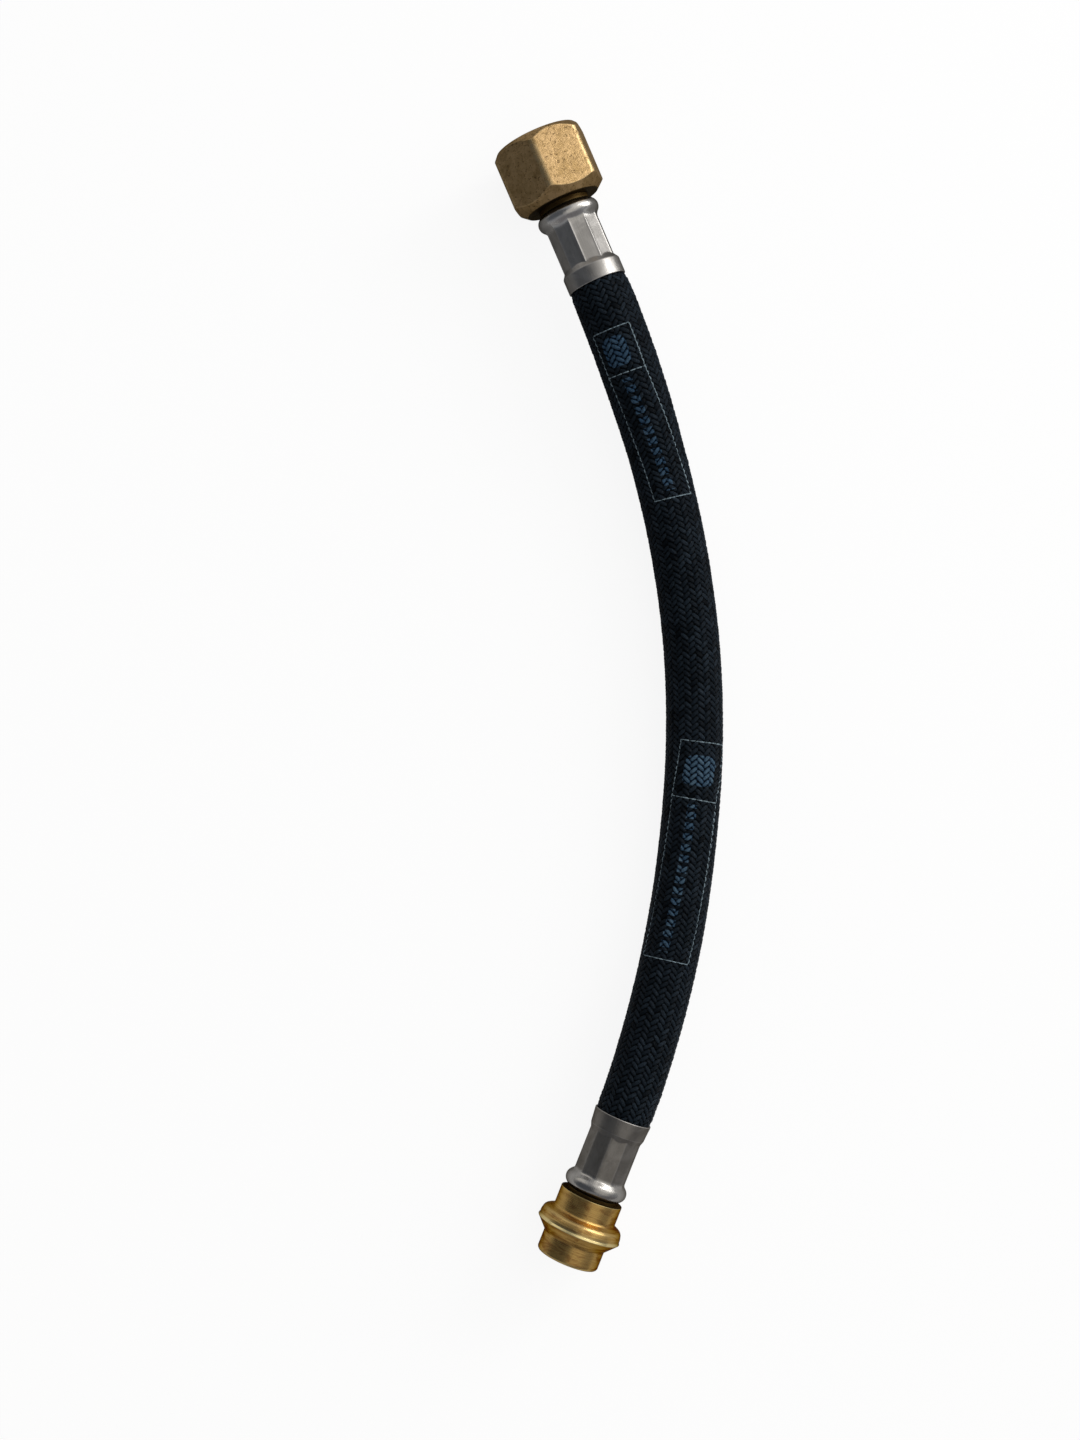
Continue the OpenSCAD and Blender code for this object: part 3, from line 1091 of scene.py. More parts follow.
@dataclass(frozen=True)
class EndAxis:
    """The axis of one end fitting in the part's frame, with its station 0 at the ferrule's mouth."""

    origin: Triple
    way: Triple

    def at(self, station: np.ndarray, radius: np.ndarray, angle: np.ndarray) -> np.ndarray:
        """Places points about the axis.

        Args:
            station: their stations.
            radius: their radii.
            angle: their angles from up, which turn right-handed about the axis.

        Returns:
            The points, in metres.
        """
        way = np.array(self.way)
        up = np.array((0.0, 0.0, 1.0))
        side = np.cross(way, up)
        flat = np.cos(angle)[..., None] * up + np.sin(angle)[..., None] * side
        return (np.array(self.origin) + station[..., None] * way + radius[..., None] * flat) * MM

    def ring(
        self, name: str, angles: np.ndarray, radii: np.ndarray, stations: np.ndarray, edges: np.ndarray
    ) -> bpy.types.Object:
        """Makes a closed ring whose section may change round the axis.

        Args:
            name: the piece's name.
            angles: one angle per section, in radians.
            radii: radius of each point, sections by points.
            stations: station of each point, sections by points.
            edges: how far each point is on a rounded edge.

        Returns:
            The new object.
        """
        around = angles[:, None] + np.zeros_like(radii)
        points = self.at(stations, radii, around).reshape(-1, 3)
        faces = outward(points, loop_faces(*radii.shape))
        skin = np.stack([stations, around * radii, radii], axis=-1).reshape(-1, 3)
        piece = mesh_object(name, points, faces, {SKIN: skin, EDGE: edges.reshape(-1)})
        weigh = piece.modifiers.new("weighted", "WEIGHTED_NORMAL")
        weigh.weight = 60  # somewhat more for the larger faces
        weigh.keep_sharp = False
        return piece

    def turned(
        self,
        name: str,
        corners: Sequence[Corner],
        sections: int = 128,
        steps: int = ROUND_STEPS,
        band: Band = (0.0, 0.0, 0.0),
    ) -> bpy.types.Object:
        """Makes a piece turned about the axis from a closed half section with rounded corners.

        Args:
            name: the piece's name.
            corners: the section's corners.
            sections: sections round the axis.
            steps: points on each round.
            band: stations between which a highlight is painted on it, and the least radius of that band.

        Returns:
            The new object.
        """
        section, bright = rounded(corners, steps)
        start, end, least = band
        # the band takes the full edge mark: a painted highlight
        rubbed = (section[:, 1] > start) & (section[:, 1] < end) & (section[:, 0] > least)
        bright = np.maximum(bright, rubbed)
        angles = np.linspace(0, 2 * math.pi, sections, endpoint=False)
        spread = np.zeros((sections, 1))
        return self.ring(name, angles, section[:, 0] + spread, section[:, 1] + spread, bright + spread)


def finish_piece(
    piece: bpy.types.Object, material: bpy.types.Material, body: Body, slot: Slot, *nodes: str
) -> None:
    """Gives a piece its material and body, and hides the solids that it stands for.

    Args:
        piece: the object.
        material: its only material.
        body: what it rides on.
        slot: the record's slot it takes its finish from; not used.
        nodes: names of the solids it stands for.
    """
    piece.data.materials.clear()
    piece.data.materials.append(material)
    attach(piece, body.value)
    if nodes:
        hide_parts(*nodes)
    LOG.info("%s: %d faces on body %s", piece.name, len(piece.data.polygons), body.value)


# ---------------------------------------------------------------------------------------------
# The hose
# ---------------------------------------------------------------------------------------------


@dataclass(frozen=True)
class HoseRoute:
    """The hose's centreline: where it leaves the first ferrule, and points from there to the second."""

    exit: Triple = (0.0, -33.65, 0.0)
    points: tuple[Triple, ...] = (
        (0, 0, 0),
        (-1, -26.9, -1.6),
        (-3.6, -53, -4.5),
        (-8.4, -79, -5.7),
        (-15.8, -104.9, -5.7),
        (-25.7, -129.7, -5.7),
        (-37.8, -153.4, -5.7),
        (-51.8, -176.2, -4.8),
        (-67.9, -197.8, -2.6),
        (-85.3, -217.4, -1.2),
    )
    heading: float = 44.8  # by which it has turned where it enters the second ferrule, in degrees
    steps: int = 60  # in each span, where the line is measured

    @property
    def start_way(self) -> np.ndarray:
        """Direction in which the hose leaves the first ferrule."""
        return np.array((0.0, -1.0, 0.0))

    @property
    def end_way(self) -> np.ndarray:
        """Direction in which it enters the second one."""
        turn = math.radians(self.heading)
        return np.array((-math.sin(turn), -math.cos(turn), 0.0))

    def line(self, per_span: int) -> np.ndarray:
        """Points down the middle of the hose, in millimetres.

        Args:
            per_span: points in each span of the route.

        Returns:
            The points, from the first ferrule's mouth to the second's.
        """
        knots = np.array(self.points, float) + np.array(self.exit)
        pace = np.empty_like(knots)
        pace[1:-1] = (knots[2:] - knots[:-2]) / 2
        pace[0] = self.start_way * np.linalg.norm(knots[1] - knots[0])
        pace[-1] = self.end_way * np.linalg.norm(knots[-1] - knots[-2])
        out = []
        for i in range(len(knots) - 1):
            for t in np.linspace(0, 1, per_span, endpoint=False):
                out.append(
                    knots[i] * (2 * t**3 - 3 * t**2 + 1)
                    + pace[i] * (t**3 - 2 * t**2 + t)
                    + knots[i + 1] * (3 * t**2 - 2 * t**3)
                    + pace[i + 1] * (t**3 - t**2)
                )
        return np.array([*out, knots[-1]])

    def length(self) -> float:
        """Length of the centreline, in millimetres."""
        return float(np.linalg.norm(np.diff(self.line(self.steps), axis=0), axis=1).sum())

    def frames(self, stations: np.ndarray) -> tuple[np.ndarray, np.ndarray, np.ndarray]:
        """Centre, upward and sideways directions at stations, which may run straight past both ends.

        Args:
            stations: distances from the first ferrule's mouth, in millimetres.

        Returns:
            Three arrays of vectors.
        """
        line = self.line(self.steps)
        along = np.concatenate([[0], np.cumsum(np.linalg.norm(np.diff(line, axis=0), axis=1))])
        ways = np.gradient(line, axis=0)
        ways[0], ways[-1] = self.start_way, self.end_way
        ways /= np.linalg.norm(ways, axis=1)[:, None]
        inside = np.clip(stations, 0, along[-1])
        centre = np.stack([np.interp(inside, along, line[:, k]) for k in range(3)], axis=-1)
        way = np.stack([np.interp(inside, along, ways[:, k]) for k in range(3)], axis=-1)
        way /= np.linalg.norm(way, axis=-1)[..., None]
        centre = centre + (stations - inside)[..., None] * way
        side = np.cross(way, (0.0, 0.0, 1.0))
        side /= np.linalg.norm(side, axis=-1)[..., None]
        return centre, np.cross(side, way), side

    def surface(self, stations: np.ndarray, angles: np.ndarray, radii: np.ndarray) -> np.ndarray:
        """Places points round the hose.

        Args:
            stations: their distances from the first ferrule's mouth.
            angles: their angles from up.
            radii: their distances from the centreline.

        Returns:
            The points, in metres.
        """
        centre, rise, side = self.frames(stations)
        flat = np.cos(angles)[..., None] * rise + np.sin(angles)[..., None] * side
        return (centre + radii[..., None] * flat) * MM


@dataclass(frozen=True)
class BraidedHose:
    """The hose: a textile braid of two-over-two yarns over a dark backing painted as the shade between them,
    and the layers inside it.

    A float is the stretch of a yarn that lies on top of the braid before the yarn dives under the next ones.
    """

    route: HoseRoute
    radius: float = 7.9
    carriers: int = 26  # yarns of each lay
    pitch: float = 1.75  # between yarns of one column, along the hose
    yarn_width: float = 1.3
    narrowing: float = 0.22  # share by which a float is narrower at its ends
    narrowing_power: int = 4  # how late it narrows
    camber: float = 0.42  # by which a float's edges lie under its crown
    camber_power: float = 2.2
    dive: float = 0.62  # by which its ends do
    dive_power: float = 1.6
    along: tuple[float, ...] = (-1.0, -0.76, -0.42, 0.0, 0.42, 0.76, 1.0)  # points, in half lengths
    across: tuple[float, ...] = (-1.0, -0.62, 0.0, 0.62, 1.0)  # and in half widths
    overrun: float = 0.62  # length of a dive
    level: float = 0.55  # share of the way to the next crossing that a float stays level
    backing: float = 0.52  # depth of the backing under the crowns
    backing_wall: float = 0.7
    backing_step: float = 1.5  # length of its faces
    backing_sides: int = 40
    tuck: float = 2.6  # length inside each ferrule
    seed: int = 26  # of what differs from float to float: their slants in degrees, places, heights and tones
    slant_spread: float = 1.6
    place_spread: float = 0.03
    height_spread: float = 0.025
    tone_spread: float = 0.22
    # Stations, and the radius over the crowns there: the braid swells where it comes out of the ferrules.
    swell: tuple[Pair, ...] = (
        (-3, 7.8),
        (-0.2, 7.84),
        (1.6, 8.45),
        (6, 8.58),
        (24, 8.56),
        (36, 8.4),
        (50, 8.1),
        (66, 8.04),
        (92, 8.04),
        (134, 8.14),
        (170, 8.2),
        (188, 8.26),
        (204, 8.22),
        (224, 8.15),
        (238.4, 8.1),
        (240.2, 7.82),
        (243, 7.8),
    )
    panels: tuple[PanelPrint, ...] = (
        PanelPrint((13.6, 26.2, 63.4), (7.9, 7.6, 4.6), (-3.3, -3.5, -7.1)),
        PanelPrint(
            (132.3, 148.5, 194.8),
            (4.4, 6.6, 9.6),
            (-11.3, -7.6, -5.2),
            slant=0.1,
            patch=(4.7, 4.3),
            rubbed=0.85,
        ),
    )

    def _lattice(self) -> tuple[np.ndarray, np.ndarray, np.ndarray]:
        """Places the floats, column by column round the hose.

        Returns:
            Station, angle and lay of the middle of each float.
        """
        half = self.pitch / 2
        first = -self.tuck
        last = self.route.length() + self.tuck
        steps = np.arange(math.floor(first / half), math.ceil(last / half) + 1)
        even = steps[steps % 2 == 0]
        stations, angles, lays = [], [], []
        for column in range(self.carriers):
            lay = Lay.RIGHT if column % 2 == 0 else Lay.LEFT
            stations.append((even + 0.5 * lay.value) * half)
            angles.append(np.full(len(even), (2 * column + 0.5) * math.pi / self.carriers))
            lays.append(np.full(len(even), lay.value))
        where = np.concatenate(stations)
        inside = (where > first) & (where < last)
        return where[inside], np.concatenate(angles)[inside], np.concatenate(lays)[inside]

    def _radius_at(self, stations: np.ndarray) -> np.ndarray:
        """Radius over the crowns at stations."""
        knots = np.array(self.swell)
        return np.interp(stations, knots[:, 0], knots[:, 1])

    def _facing_out(self, points: np.ndarray, faces: np.ndarray, stations: np.ndarray) -> np.ndarray:
        """Turns over the faces that look at the hose's centreline.

        Args:
            points: the mesh's points, in metres.
            faces: four vertex numbers per face.
            stations: the station of each point.

        Returns:
            The faces, all turned outwards.
        """
        a, b, c = (points[faces[:, k]] for k in (0, 1, 2))
        centre = self.route.frames(stations[faces[:, 0]])[0] * MM
        inward = (np.cross(b - a, c - a) * (a - centre)).sum(1) < 0
        faces[inward] = faces[inward][:, ::-1]
        return faces

    def _floats(self) -> tuple[np.ndarray, np.ndarray, dict[str, np.ndarray]]:
        """Meshes all floats, each as a grid that runs along it and across it.

        Returns:
            Points, faces and attributes.
        """
        station, angle, lay = (part[:, None, None] for part in self._lattice())
        count = len(station)
        dice = np.random.default_rng(self.seed)
        around, forward = math.pi * self.radius / self.carriers, self.pitch / 2
        spacing = math.hypot(around, forward)
        lean_strays = np.radians(dice.normal(0, self.slant_spread, count))[:, None, None]
        lean = np.arctan2(forward, around) * lay + lean_strays
        shift = dice.normal(0, self.place_spread, (2, count))[..., None, None]
        lift = dice.normal(0, self.height_spread, count)[:, None, None]
        tones = np.clip(dice.normal(0.5, self.tone_spread, count), 0, 1)[:, None, None]

        t, w = np.meshgrid(self.along, self.across, indexing="ij")
        half_long = spacing + self.overrun
        run = t * half_long
        off = w * self.yarn_width / 2 * (1 - self.narrowing * t**self.narrowing_power)
        stations = station + run * np.sin(lean) + off * np.cos(lean) + shift[0]
        arcs = run * np.cos(lean) - off * np.sin(lean) + shift[1]
        angles = angle + arcs / self.radius
        level = spacing * self.level
        past = np.clip((np.abs(run) - level) / (half_long - level), 0, 1)
        sunk = self.dive * past**self.dive_power + self.camber * np.abs(w) ** self.camber_power
        radii = self._radius_at(stations) - sunk + lift
        points = self.route.surface(stations, angles, radii).reshape(-1, 3)

        faces = self._facing_out(points, grid_faces(count, *t.shape), stations.reshape(-1))
        wrapped = (angles + math.pi) % (2 * math.pi) - math.pi
        skin = np.stack([stations, wrapped * self.radius, radii], axis=-1).reshape(-1, 3)
        crown = np.clip(1 - sunk / (self.camber + self.dive / 2), 0, 1)
        values = {TONE: tones, CROWN: crown, ACROSS: w}
        spread = {key: np.broadcast_to(value, radii.shape).reshape(-1) for key, value in values.items()}
        return points, faces, {SKIN: skin, **spread}

    def _backing(self) -> tuple[np.ndarray, np.ndarray, dict[str, np.ndarray]]:
        """Meshes the dark tube under the yarns, closed at its ends, which takes the painted shade seen
        between the yarns.

        Returns:
            Points, faces and attributes.
        """
        stations = np.arange(-self.tuck, self.route.length() + self.tuck, self.backing_step)
        turns = np.linspace(0, 2 * math.pi, self.backing_sides, endpoint=False)
        s, a = np.meshgrid(np.concatenate([stations, stations[::-1]]), turns, indexing="ij")
        wall = np.where(np.arange(len(s)) < len(stations), 0, self.backing_wall)[:, None]
        radii = self._radius_at(s) - self.backing - wall
        points = self.route.surface(s, a, radii).reshape(-1, 3)
        faces = outward(points, loop_faces(*s.shape))
        # a crown of 0 all over gives the backing the painted shade colour
        flat = np.zeros(len(points))
        skin = np.stack([s, a * self.radius, radii], axis=-1).reshape(-1, 3)
        return points, faces, {SKIN: skin, TONE: flat, CROWN: flat, ACROSS: flat}

    def build(self, nodes: dict[str, bpy.types.Object]) -> bpy.types.Object:
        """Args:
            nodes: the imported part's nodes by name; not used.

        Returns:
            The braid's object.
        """
        points, faces, numbers = self._floats()
        under, under_faces, under_numbers = self._backing()
        joined = {key: np.concatenate([numbers[key], under_numbers[key]]) for key in numbers}
        braid = mesh_object(
            "hose_textile_braid",
            np.concatenate([points, under]),
            np.concatenate([faces, under_faces + len(points)]),
            joined,
        )
        yarn = BraidedYarn("braided_black_yarn", panels=self.panels).material()
        finish_piece(braid, yarn, Body.HOSE, Slot.COVER, "hose_cover")
        path = self.route.line(2) * MM
        round(self.route.length() * MM, 4)
        return braid

    def dress_layers(self, nodes: dict[str, bpy.types.Object]) -> None:
        """Gives the layers inside the braid their finishes.

        Args:
            nodes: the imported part's nodes by name.
        """
        rubber = MouldedRubber("moulded_liner_rubber").material()
        wire = WoundWire("wound_steel_wire").material()
        layers = (("hose_liner", rubber, Slot.LINER), ("hose_wire_braid", wire, Slot.WIRE))
        for name, material, slot in layers:
            node = nodes[name]
            node.data.materials.clear()
            node.data.materials.append(material)
            LOG.info("%s: carried over with %s", name, material.name)


# ---------------------------------------------------------------------------------------------
# The fittings
# ---------------------------------------------------------------------------------------------


@dataclass(frozen=True)
class CrimpedFerrule:
    """A sleeve with a flared mouth, crimp flats with fine ridges between them, and a rolled bead."""

    axis: EndAxis
    name: str
    node: str
    flats: int = 10
    turn: float = 0.0  # angle of one ridge from up, in degrees
    ridge: float = 0.07  # height of the ridges
    ridge_reach: float = 0.22  # over which a ridge sinks to the flats
    ridge_wear_highlight_reach: float = 0.2  # over which its worn-bright line, a painted highlight, fades
    ridge_bright: float = 0.08  # height from which that line is brightest
    ridge_before: int = 2  # points of the taper's last round that the line takes in
    ridge_after: int = 5  # and points of the hollow before the bead
    brightness: float = 0.8  # of its worn edges and their painted highlight, from 0 to 1
    sections: tuple[float, ...] = (0.012, 0.03, 0.055, 0.09, 0.15, 0.24, 0.36)  # of a flat, from a ridge
    softness: float = 1.0  # radius of the round between two flats
    length: float = 23.2
    wall: float = 0.5
    edge: float = 0.1  # radius of its thin edges
    mouth_edge: float = 0.2  # of the mouth's outer edge
    taper_round: float = 0.9  # of the rounds at both ends of the taper
    inner_round: float = 0.3  # of those inside it
    mouth_radius: float = 8.45
    mouth_narrows: float = 0.0  # by which the mouth is narrower at its inner end
    mouth_length: float = 4.6
    taper_length: float = 1.7
    body_radius: float = 7.3
    bead_station: float = 20.8
    bead_centre: float = 6.65
    bead_round: float = 2.35
    bead_turn: float = 0.98  # share of a quarter turn at which the bead meets the lip
    fillet: float = 1.5  # of the hollow between the crimp and the bead
    lip_radius: float = 6.35

    def _from_ridge(self, angles: np.ndarray) -> np.ndarray:
        """Angles from the nearest ridge between two flats."""
        share = 2 * math.pi / self.flats
        return np.abs((angles - math.radians(self.turn) + share / 2) % share - share / 2)

    def _body_radius(self, angles: np.ndarray) -> np.ndarray:
        """Radius of the crimped length.

        Args:
            angles: where, in radians.

        Returns:
            The radius at each angle.
        """
        from_ridge = self._from_ridge(angles)
        half = math.pi / self.flats
        corner = (self.body_radius - self.softness) / math.cos(half)
        tangent = math.atan((self.body_radius - self.softness) * math.tan(half) / self.body_radius)
        flat = self.body_radius / np.cos(half - from_ridge)
        reach = np.clip(corner * np.sin(from_ridge), -self.softness, self.softness)
        soft = corner * np.cos(from_ridge) + np.sqrt(self.softness**2 - reach**2)
        radius = np.where(from_ridge < half - tangent, soft, flat)
        return radius + self.ridge * np.exp(-((from_ridge * self.body_radius / self.ridge_reach) ** 2))

    def _angles(self) -> np.ndarray:
        """Places the sections round the axis, closer together at the ridges.

        Returns:
            Their angles, in radians.
        """
        share = 2 * math.pi / self.flats
        after = np.array(self.sections)
        within = np.concatenate([[-0.5], -after[::-1], [0], after])
        starts = math.radians(self.turn) + np.arange(self.flats) * share
        return (starts[:, None] + within[None] * share).reshape(-1)

    def _bead(self, body: float, inset: float, before: int, after: int) -> list[Corner]:
        """Points of the hollow up to the bead and of the bead itself, from the crimp to the front.

        Args:
            body: radius of the crimped length.
            inset: depth under the sleeve's outside.
            before: points on the hollow.
            after: points on the bead, with the one where the hollow ends.

        Returns:
            The points, as sharp corners.
        """
        round_radius, fillet = self.bead_round - inset, self.fillet + inset
        rise = body + fillet - self.bead_centre
        start = self.bead_station - math.sqrt((round_radius + fillet) ** 2 - rise**2)
        meet = math.atan2(start - self.bead_station, rise)
        points = []
        for a in np.linspace(math.pi / 2, -meet, before):
            points.append(Corner(body + fillet - fillet * math.sin(a), start + fillet * math.cos(a)))
        for a in np.linspace(meet, math.pi / 2 * self.bead_turn, after)[1:]:
            radius = self.bead_centre + round_radius * math.cos(a)
            points.append(Corner(radius, self.bead_station + round_radius * math.sin(a)))
        return points

    def _corners(self, body: float) -> list[Corner]:
        """Draws the sleeve's half section at one angle.

        Args:
            body: radius of the crimped length there.

        Returns:
            Its corners, out over the sleeve from the mouth to the lip and back inside.
        """
        waist = self.mouth_radius - self.mouth_narrows
        meets = self.mouth_length + self.taper_length * (waist - body) / (waist - self.body_radius)
        bead = self._bead(body, inset=0, before=7, after=15)
        hollow = self._bead(body - self.wall, inset=self.wall, before=4, after=8)
        return [
            Corner(self.mouth_radius - self.wall, 0.0, self.edge),
            Corner(self.mouth_radius, 0.0, self.mouth_edge),
            Corner(waist, self.mouth_length, self.taper_round),
            Corner(body, meets, self.taper_round),
            *bead,
            Corner(self.lip_radius, self.length, self.edge),
            Corner(self.lip_radius, self.length - self.wall, self.edge),
            *hollow[::-1],
            Corner(body - self.wall, meets, self.inner_round),
            Corner(waist - self.wall, self.mouth_length, self.inner_round),
        ]

    def build(self, material: bpy.types.Material) -> bpy.types.Object:
        """Builds the sleeve and dresses it.

        Args:
            material: the sleeve's finish.

        Returns:
            The sleeve's object.
        """
        angles = self._angles()
        outline = self._body_radius(angles)
        # worn-bright lines with a painted highlight along the ridges, fading away from them
        fading = np.exp(-((self._from_ridge(angles) * self.body_radius / self.ridge_wear_highlight_reach) ** 2))
        rubbed = fading * min(1.0, self.ridge / self.ridge_bright)
        radii, stations, edges = [], [], []
        for body, shine in zip(outline, rubbed):
            section, bright = rounded(self._corners(body), ROUND_STEPS)
            bright[3 * ROUND_STEPS :] = 0  # past the mouth's three rounds
            hollow_from = 4 * ROUND_STEPS  # the first point past the crimped length
            bright[hollow_from - self.ridge_before : hollow_from + self.ridge_after] = shine
            radii.append(section[:, 0])
            stations.append(section[:, 1])
            edges.append(bright)
        rims = np.array(edges) * self.brightness
        sleeve = self.axis.ring(self.name, angles, np.array(radii), np.array(stations), rims)
        finish_piece(sleeve, material, Body.HOSE, Slot.FERRULE, self.node)
        return sleeve


@dataclass(frozen=True)
class BarbedStem:
    """The part of an insert that sits in the hose, up to the hub that the ferrule bears on."""

    bore: float = 3.5
    tip: float = 1.0
    nose: float = 0.3  # bevel of the tip, which is twice as long
    root: float = 4.5
    top: float = 4.95
    barbs: int = 6
    barbs_from: float = 2.4
    barbs_to: float = 18.35
    neck: float = 6.3
    neck_from: float = 19.85
    hub: float = 7.25
    hub_from: float = 23.25
    barb_edge: float = 0.02  # length of a barb's steep side
    edge: float = 0.1  # radius of its edges
    fine_edge: float = 0.05  # and of the finest ones

    def section(self) -> list[Corner]:
        """Draws the stem's half section.

        Returns:
            Its corners, from the bore to the hub.
        """
        pitch = (self.barbs_to - self.barbs_from) / self.barbs
        corners = [
            Corner(self.bore, self.tip, self.edge),
            Corner(self.root - self.nose, self.tip, self.edge),
            Corner(self.root, self.tip + 2 * self.nose, self.edge),
        ]
        for k in range(self.barbs):
            corners.append(Corner(self.root, self.barbs_from + k * pitch))
            steep = self.barbs_from + (k + 1) * pitch - self.barb_edge
            corners.append(Corner(self.top, steep, self.fine_edge))
        corners += [
            Corner(self.root, self.barbs_to),
            Corner(self.root, self.neck_from, self.edge),
            Corner(self.neck, self.neck_from, self.fine_edge),
            Corner(self.neck, self.hub_from, self.fine_edge),
            Corner(self.hub, self.hub_from, self.edge),
        ]
        return corners


@dataclass(frozen=True)
class NutInsert:
    """The insert that the nut turns on: barbed stem, hub, and the collar that the nut pulls on."""

    axis: EndAxis
    stem: BarbedStem = BarbedStem()
    collar: float = 9.1155
    collar_from: float = 27.55
    collar_edge: float = 0.2
    seat: float = 30.55
    seat_edge: float = 0.25
    bevel: float = 1.0  # of the bore's end
    bevel_edge: float = 0.15

    def build(self, material: bpy.types.Material) -> bpy.types.Object:
        """Builds the insert and dresses it.

        Args:
            material: the insert's finish.

        Returns:
            The insert's object.
        """
        corners = [
            *self.stem.section(),
            Corner(self.stem.hub, self.collar_from, self.stem.edge),
            Corner(self.collar, self.collar_from, self.collar_edge),
            Corner(self.collar, self.seat, self.seat_edge),
            Corner(self.stem.bore + self.bevel, self.seat, self.bevel_edge),
            Corner(self.stem.bore, self.seat - self.bevel, self.bevel_edge),
        ]
        piece = self.axis.turned("nut_insert_turned", corners)
        finish_piece(piece, material, Body.HOSE, Slot.INSERT, "nut_insert")
        return piece


@dataclass(frozen=True)
class SpigotInsert:
    """The other insert: barbed stem, collar, sloped stop flange, shoulder and plain spigot."""

    axis: EndAxis
    stem: BarbedStem = BarbedStem()
    collar: float = 9.05
    collar_from: float = 24.0
    collar_edge: float = 0.16
    collar_to: float = 29.7
    collar_round: float = 1.0  # where the shoulder starts
    shoulder: float = 11.5
    shoulder_at: float = 30.9
    shoulder_round: float = 2.2
    flange: float = 12.2
    flange_from: float = 32.6
    flange_round: float = 2.0  # where its round face starts
    flange_to: float = 34.0
    flange_edge: float = 0.2
    lip: float = 0.28  # by which the flange's edge stands over its round face
    lip_length: float = 0.6
    lip_highlight: Triple = (0.1, 0.05, 1.0)  # reach of the painted highlight on the flange's edge: before it, behind it and inwards
    spigot: float = 9.0
    spigot_from: float = 37.4
    spigot_root: float = 0.9  # round there
    spigot_to: float = 43.2
    spigot_tip: float = 0.95  # round there
    hollow: float = 6.75
    hollow_edge: float = 0.3
    hollow_from: float = 32.95
    hollow_round: float = 0.4
    cone_from: float = 29.7

    def build(self, material: bpy.types.Material) -> bpy.types.Object:
        """Builds the insert and dresses it.

        Args:
            material: the insert's finish.

        Returns:
            The insert's object.
        """
        rim = self.flange - self.lip
        lip_from = self.flange_to - self.lip_length
        corners = [
            *self.stem.section(),
            Corner(self.stem.hub, self.collar_from, self.stem.edge),
            Corner(self.collar, self.collar_from, self.collar_edge),
            Corner(self.collar, self.collar_to, self.collar_round),
            Corner(self.shoulder, self.shoulder_at, self.shoulder_round),
            Corner(rim, self.flange_from, self.flange_round),
            Corner(rim, lip_from, self.stem.fine_edge),
            Corner(self.flange, self.flange_to, self.flange_edge),
            Corner(self.spigot, self.spigot_from, self.spigot_root),
            Corner(self.spigot, self.spigot_to, self.spigot_tip),
            Corner(self.hollow, self.spigot_to, self.hollow_edge),
            Corner(self.hollow, self.hollow_from, self.hollow_round),
            Corner(self.stem.bore, self.cone_from, self.hollow_edge),
        ]
        # painted highlight along the flange's edge
        before, behind, inwards = self.lip_highlight
        band = (lip_from - before, self.flange_to + behind, self.flange - inwards)
        piece = self.axis.turned("spigot_insert_turned", corners, sections=160, steps=6, band=band)
        finish_piece(piece, material, Body.HOSE, Slot.INSERT, "spigot_insert")
        return piece


@dataclass(frozen=True)
class SealWasher:
    """The flat washer in front of the nut insert's collar."""

    axis: EndAxis
    outer: float = 9.5
    inner: float = 5.75
    back: float = 31.6
    thickness: float = 2.0
    edge: float = 0.15  # radius of its edges

    def build(self) -> bpy.types.Object:
        """Builds the washer and dresses it.

        Returns:
            The washer's object.
        """
        front = self.back + self.thickness
        corners = [
            Corner(self.inner, self.back, self.edge),
            Corner(self.outer, self.back, self.edge),
            Corner(self.outer, front, self.edge),
            Corner(self.inner, front, self.edge),
        ]
        piece = self.axis.turned("seal_washer_moulded", corners, sections=96)
        finish_piece(piece, MouldedRubber("seal_rubber").material(), Body.SEAL, Slot.SEAL, "seal_washer")
        return piece


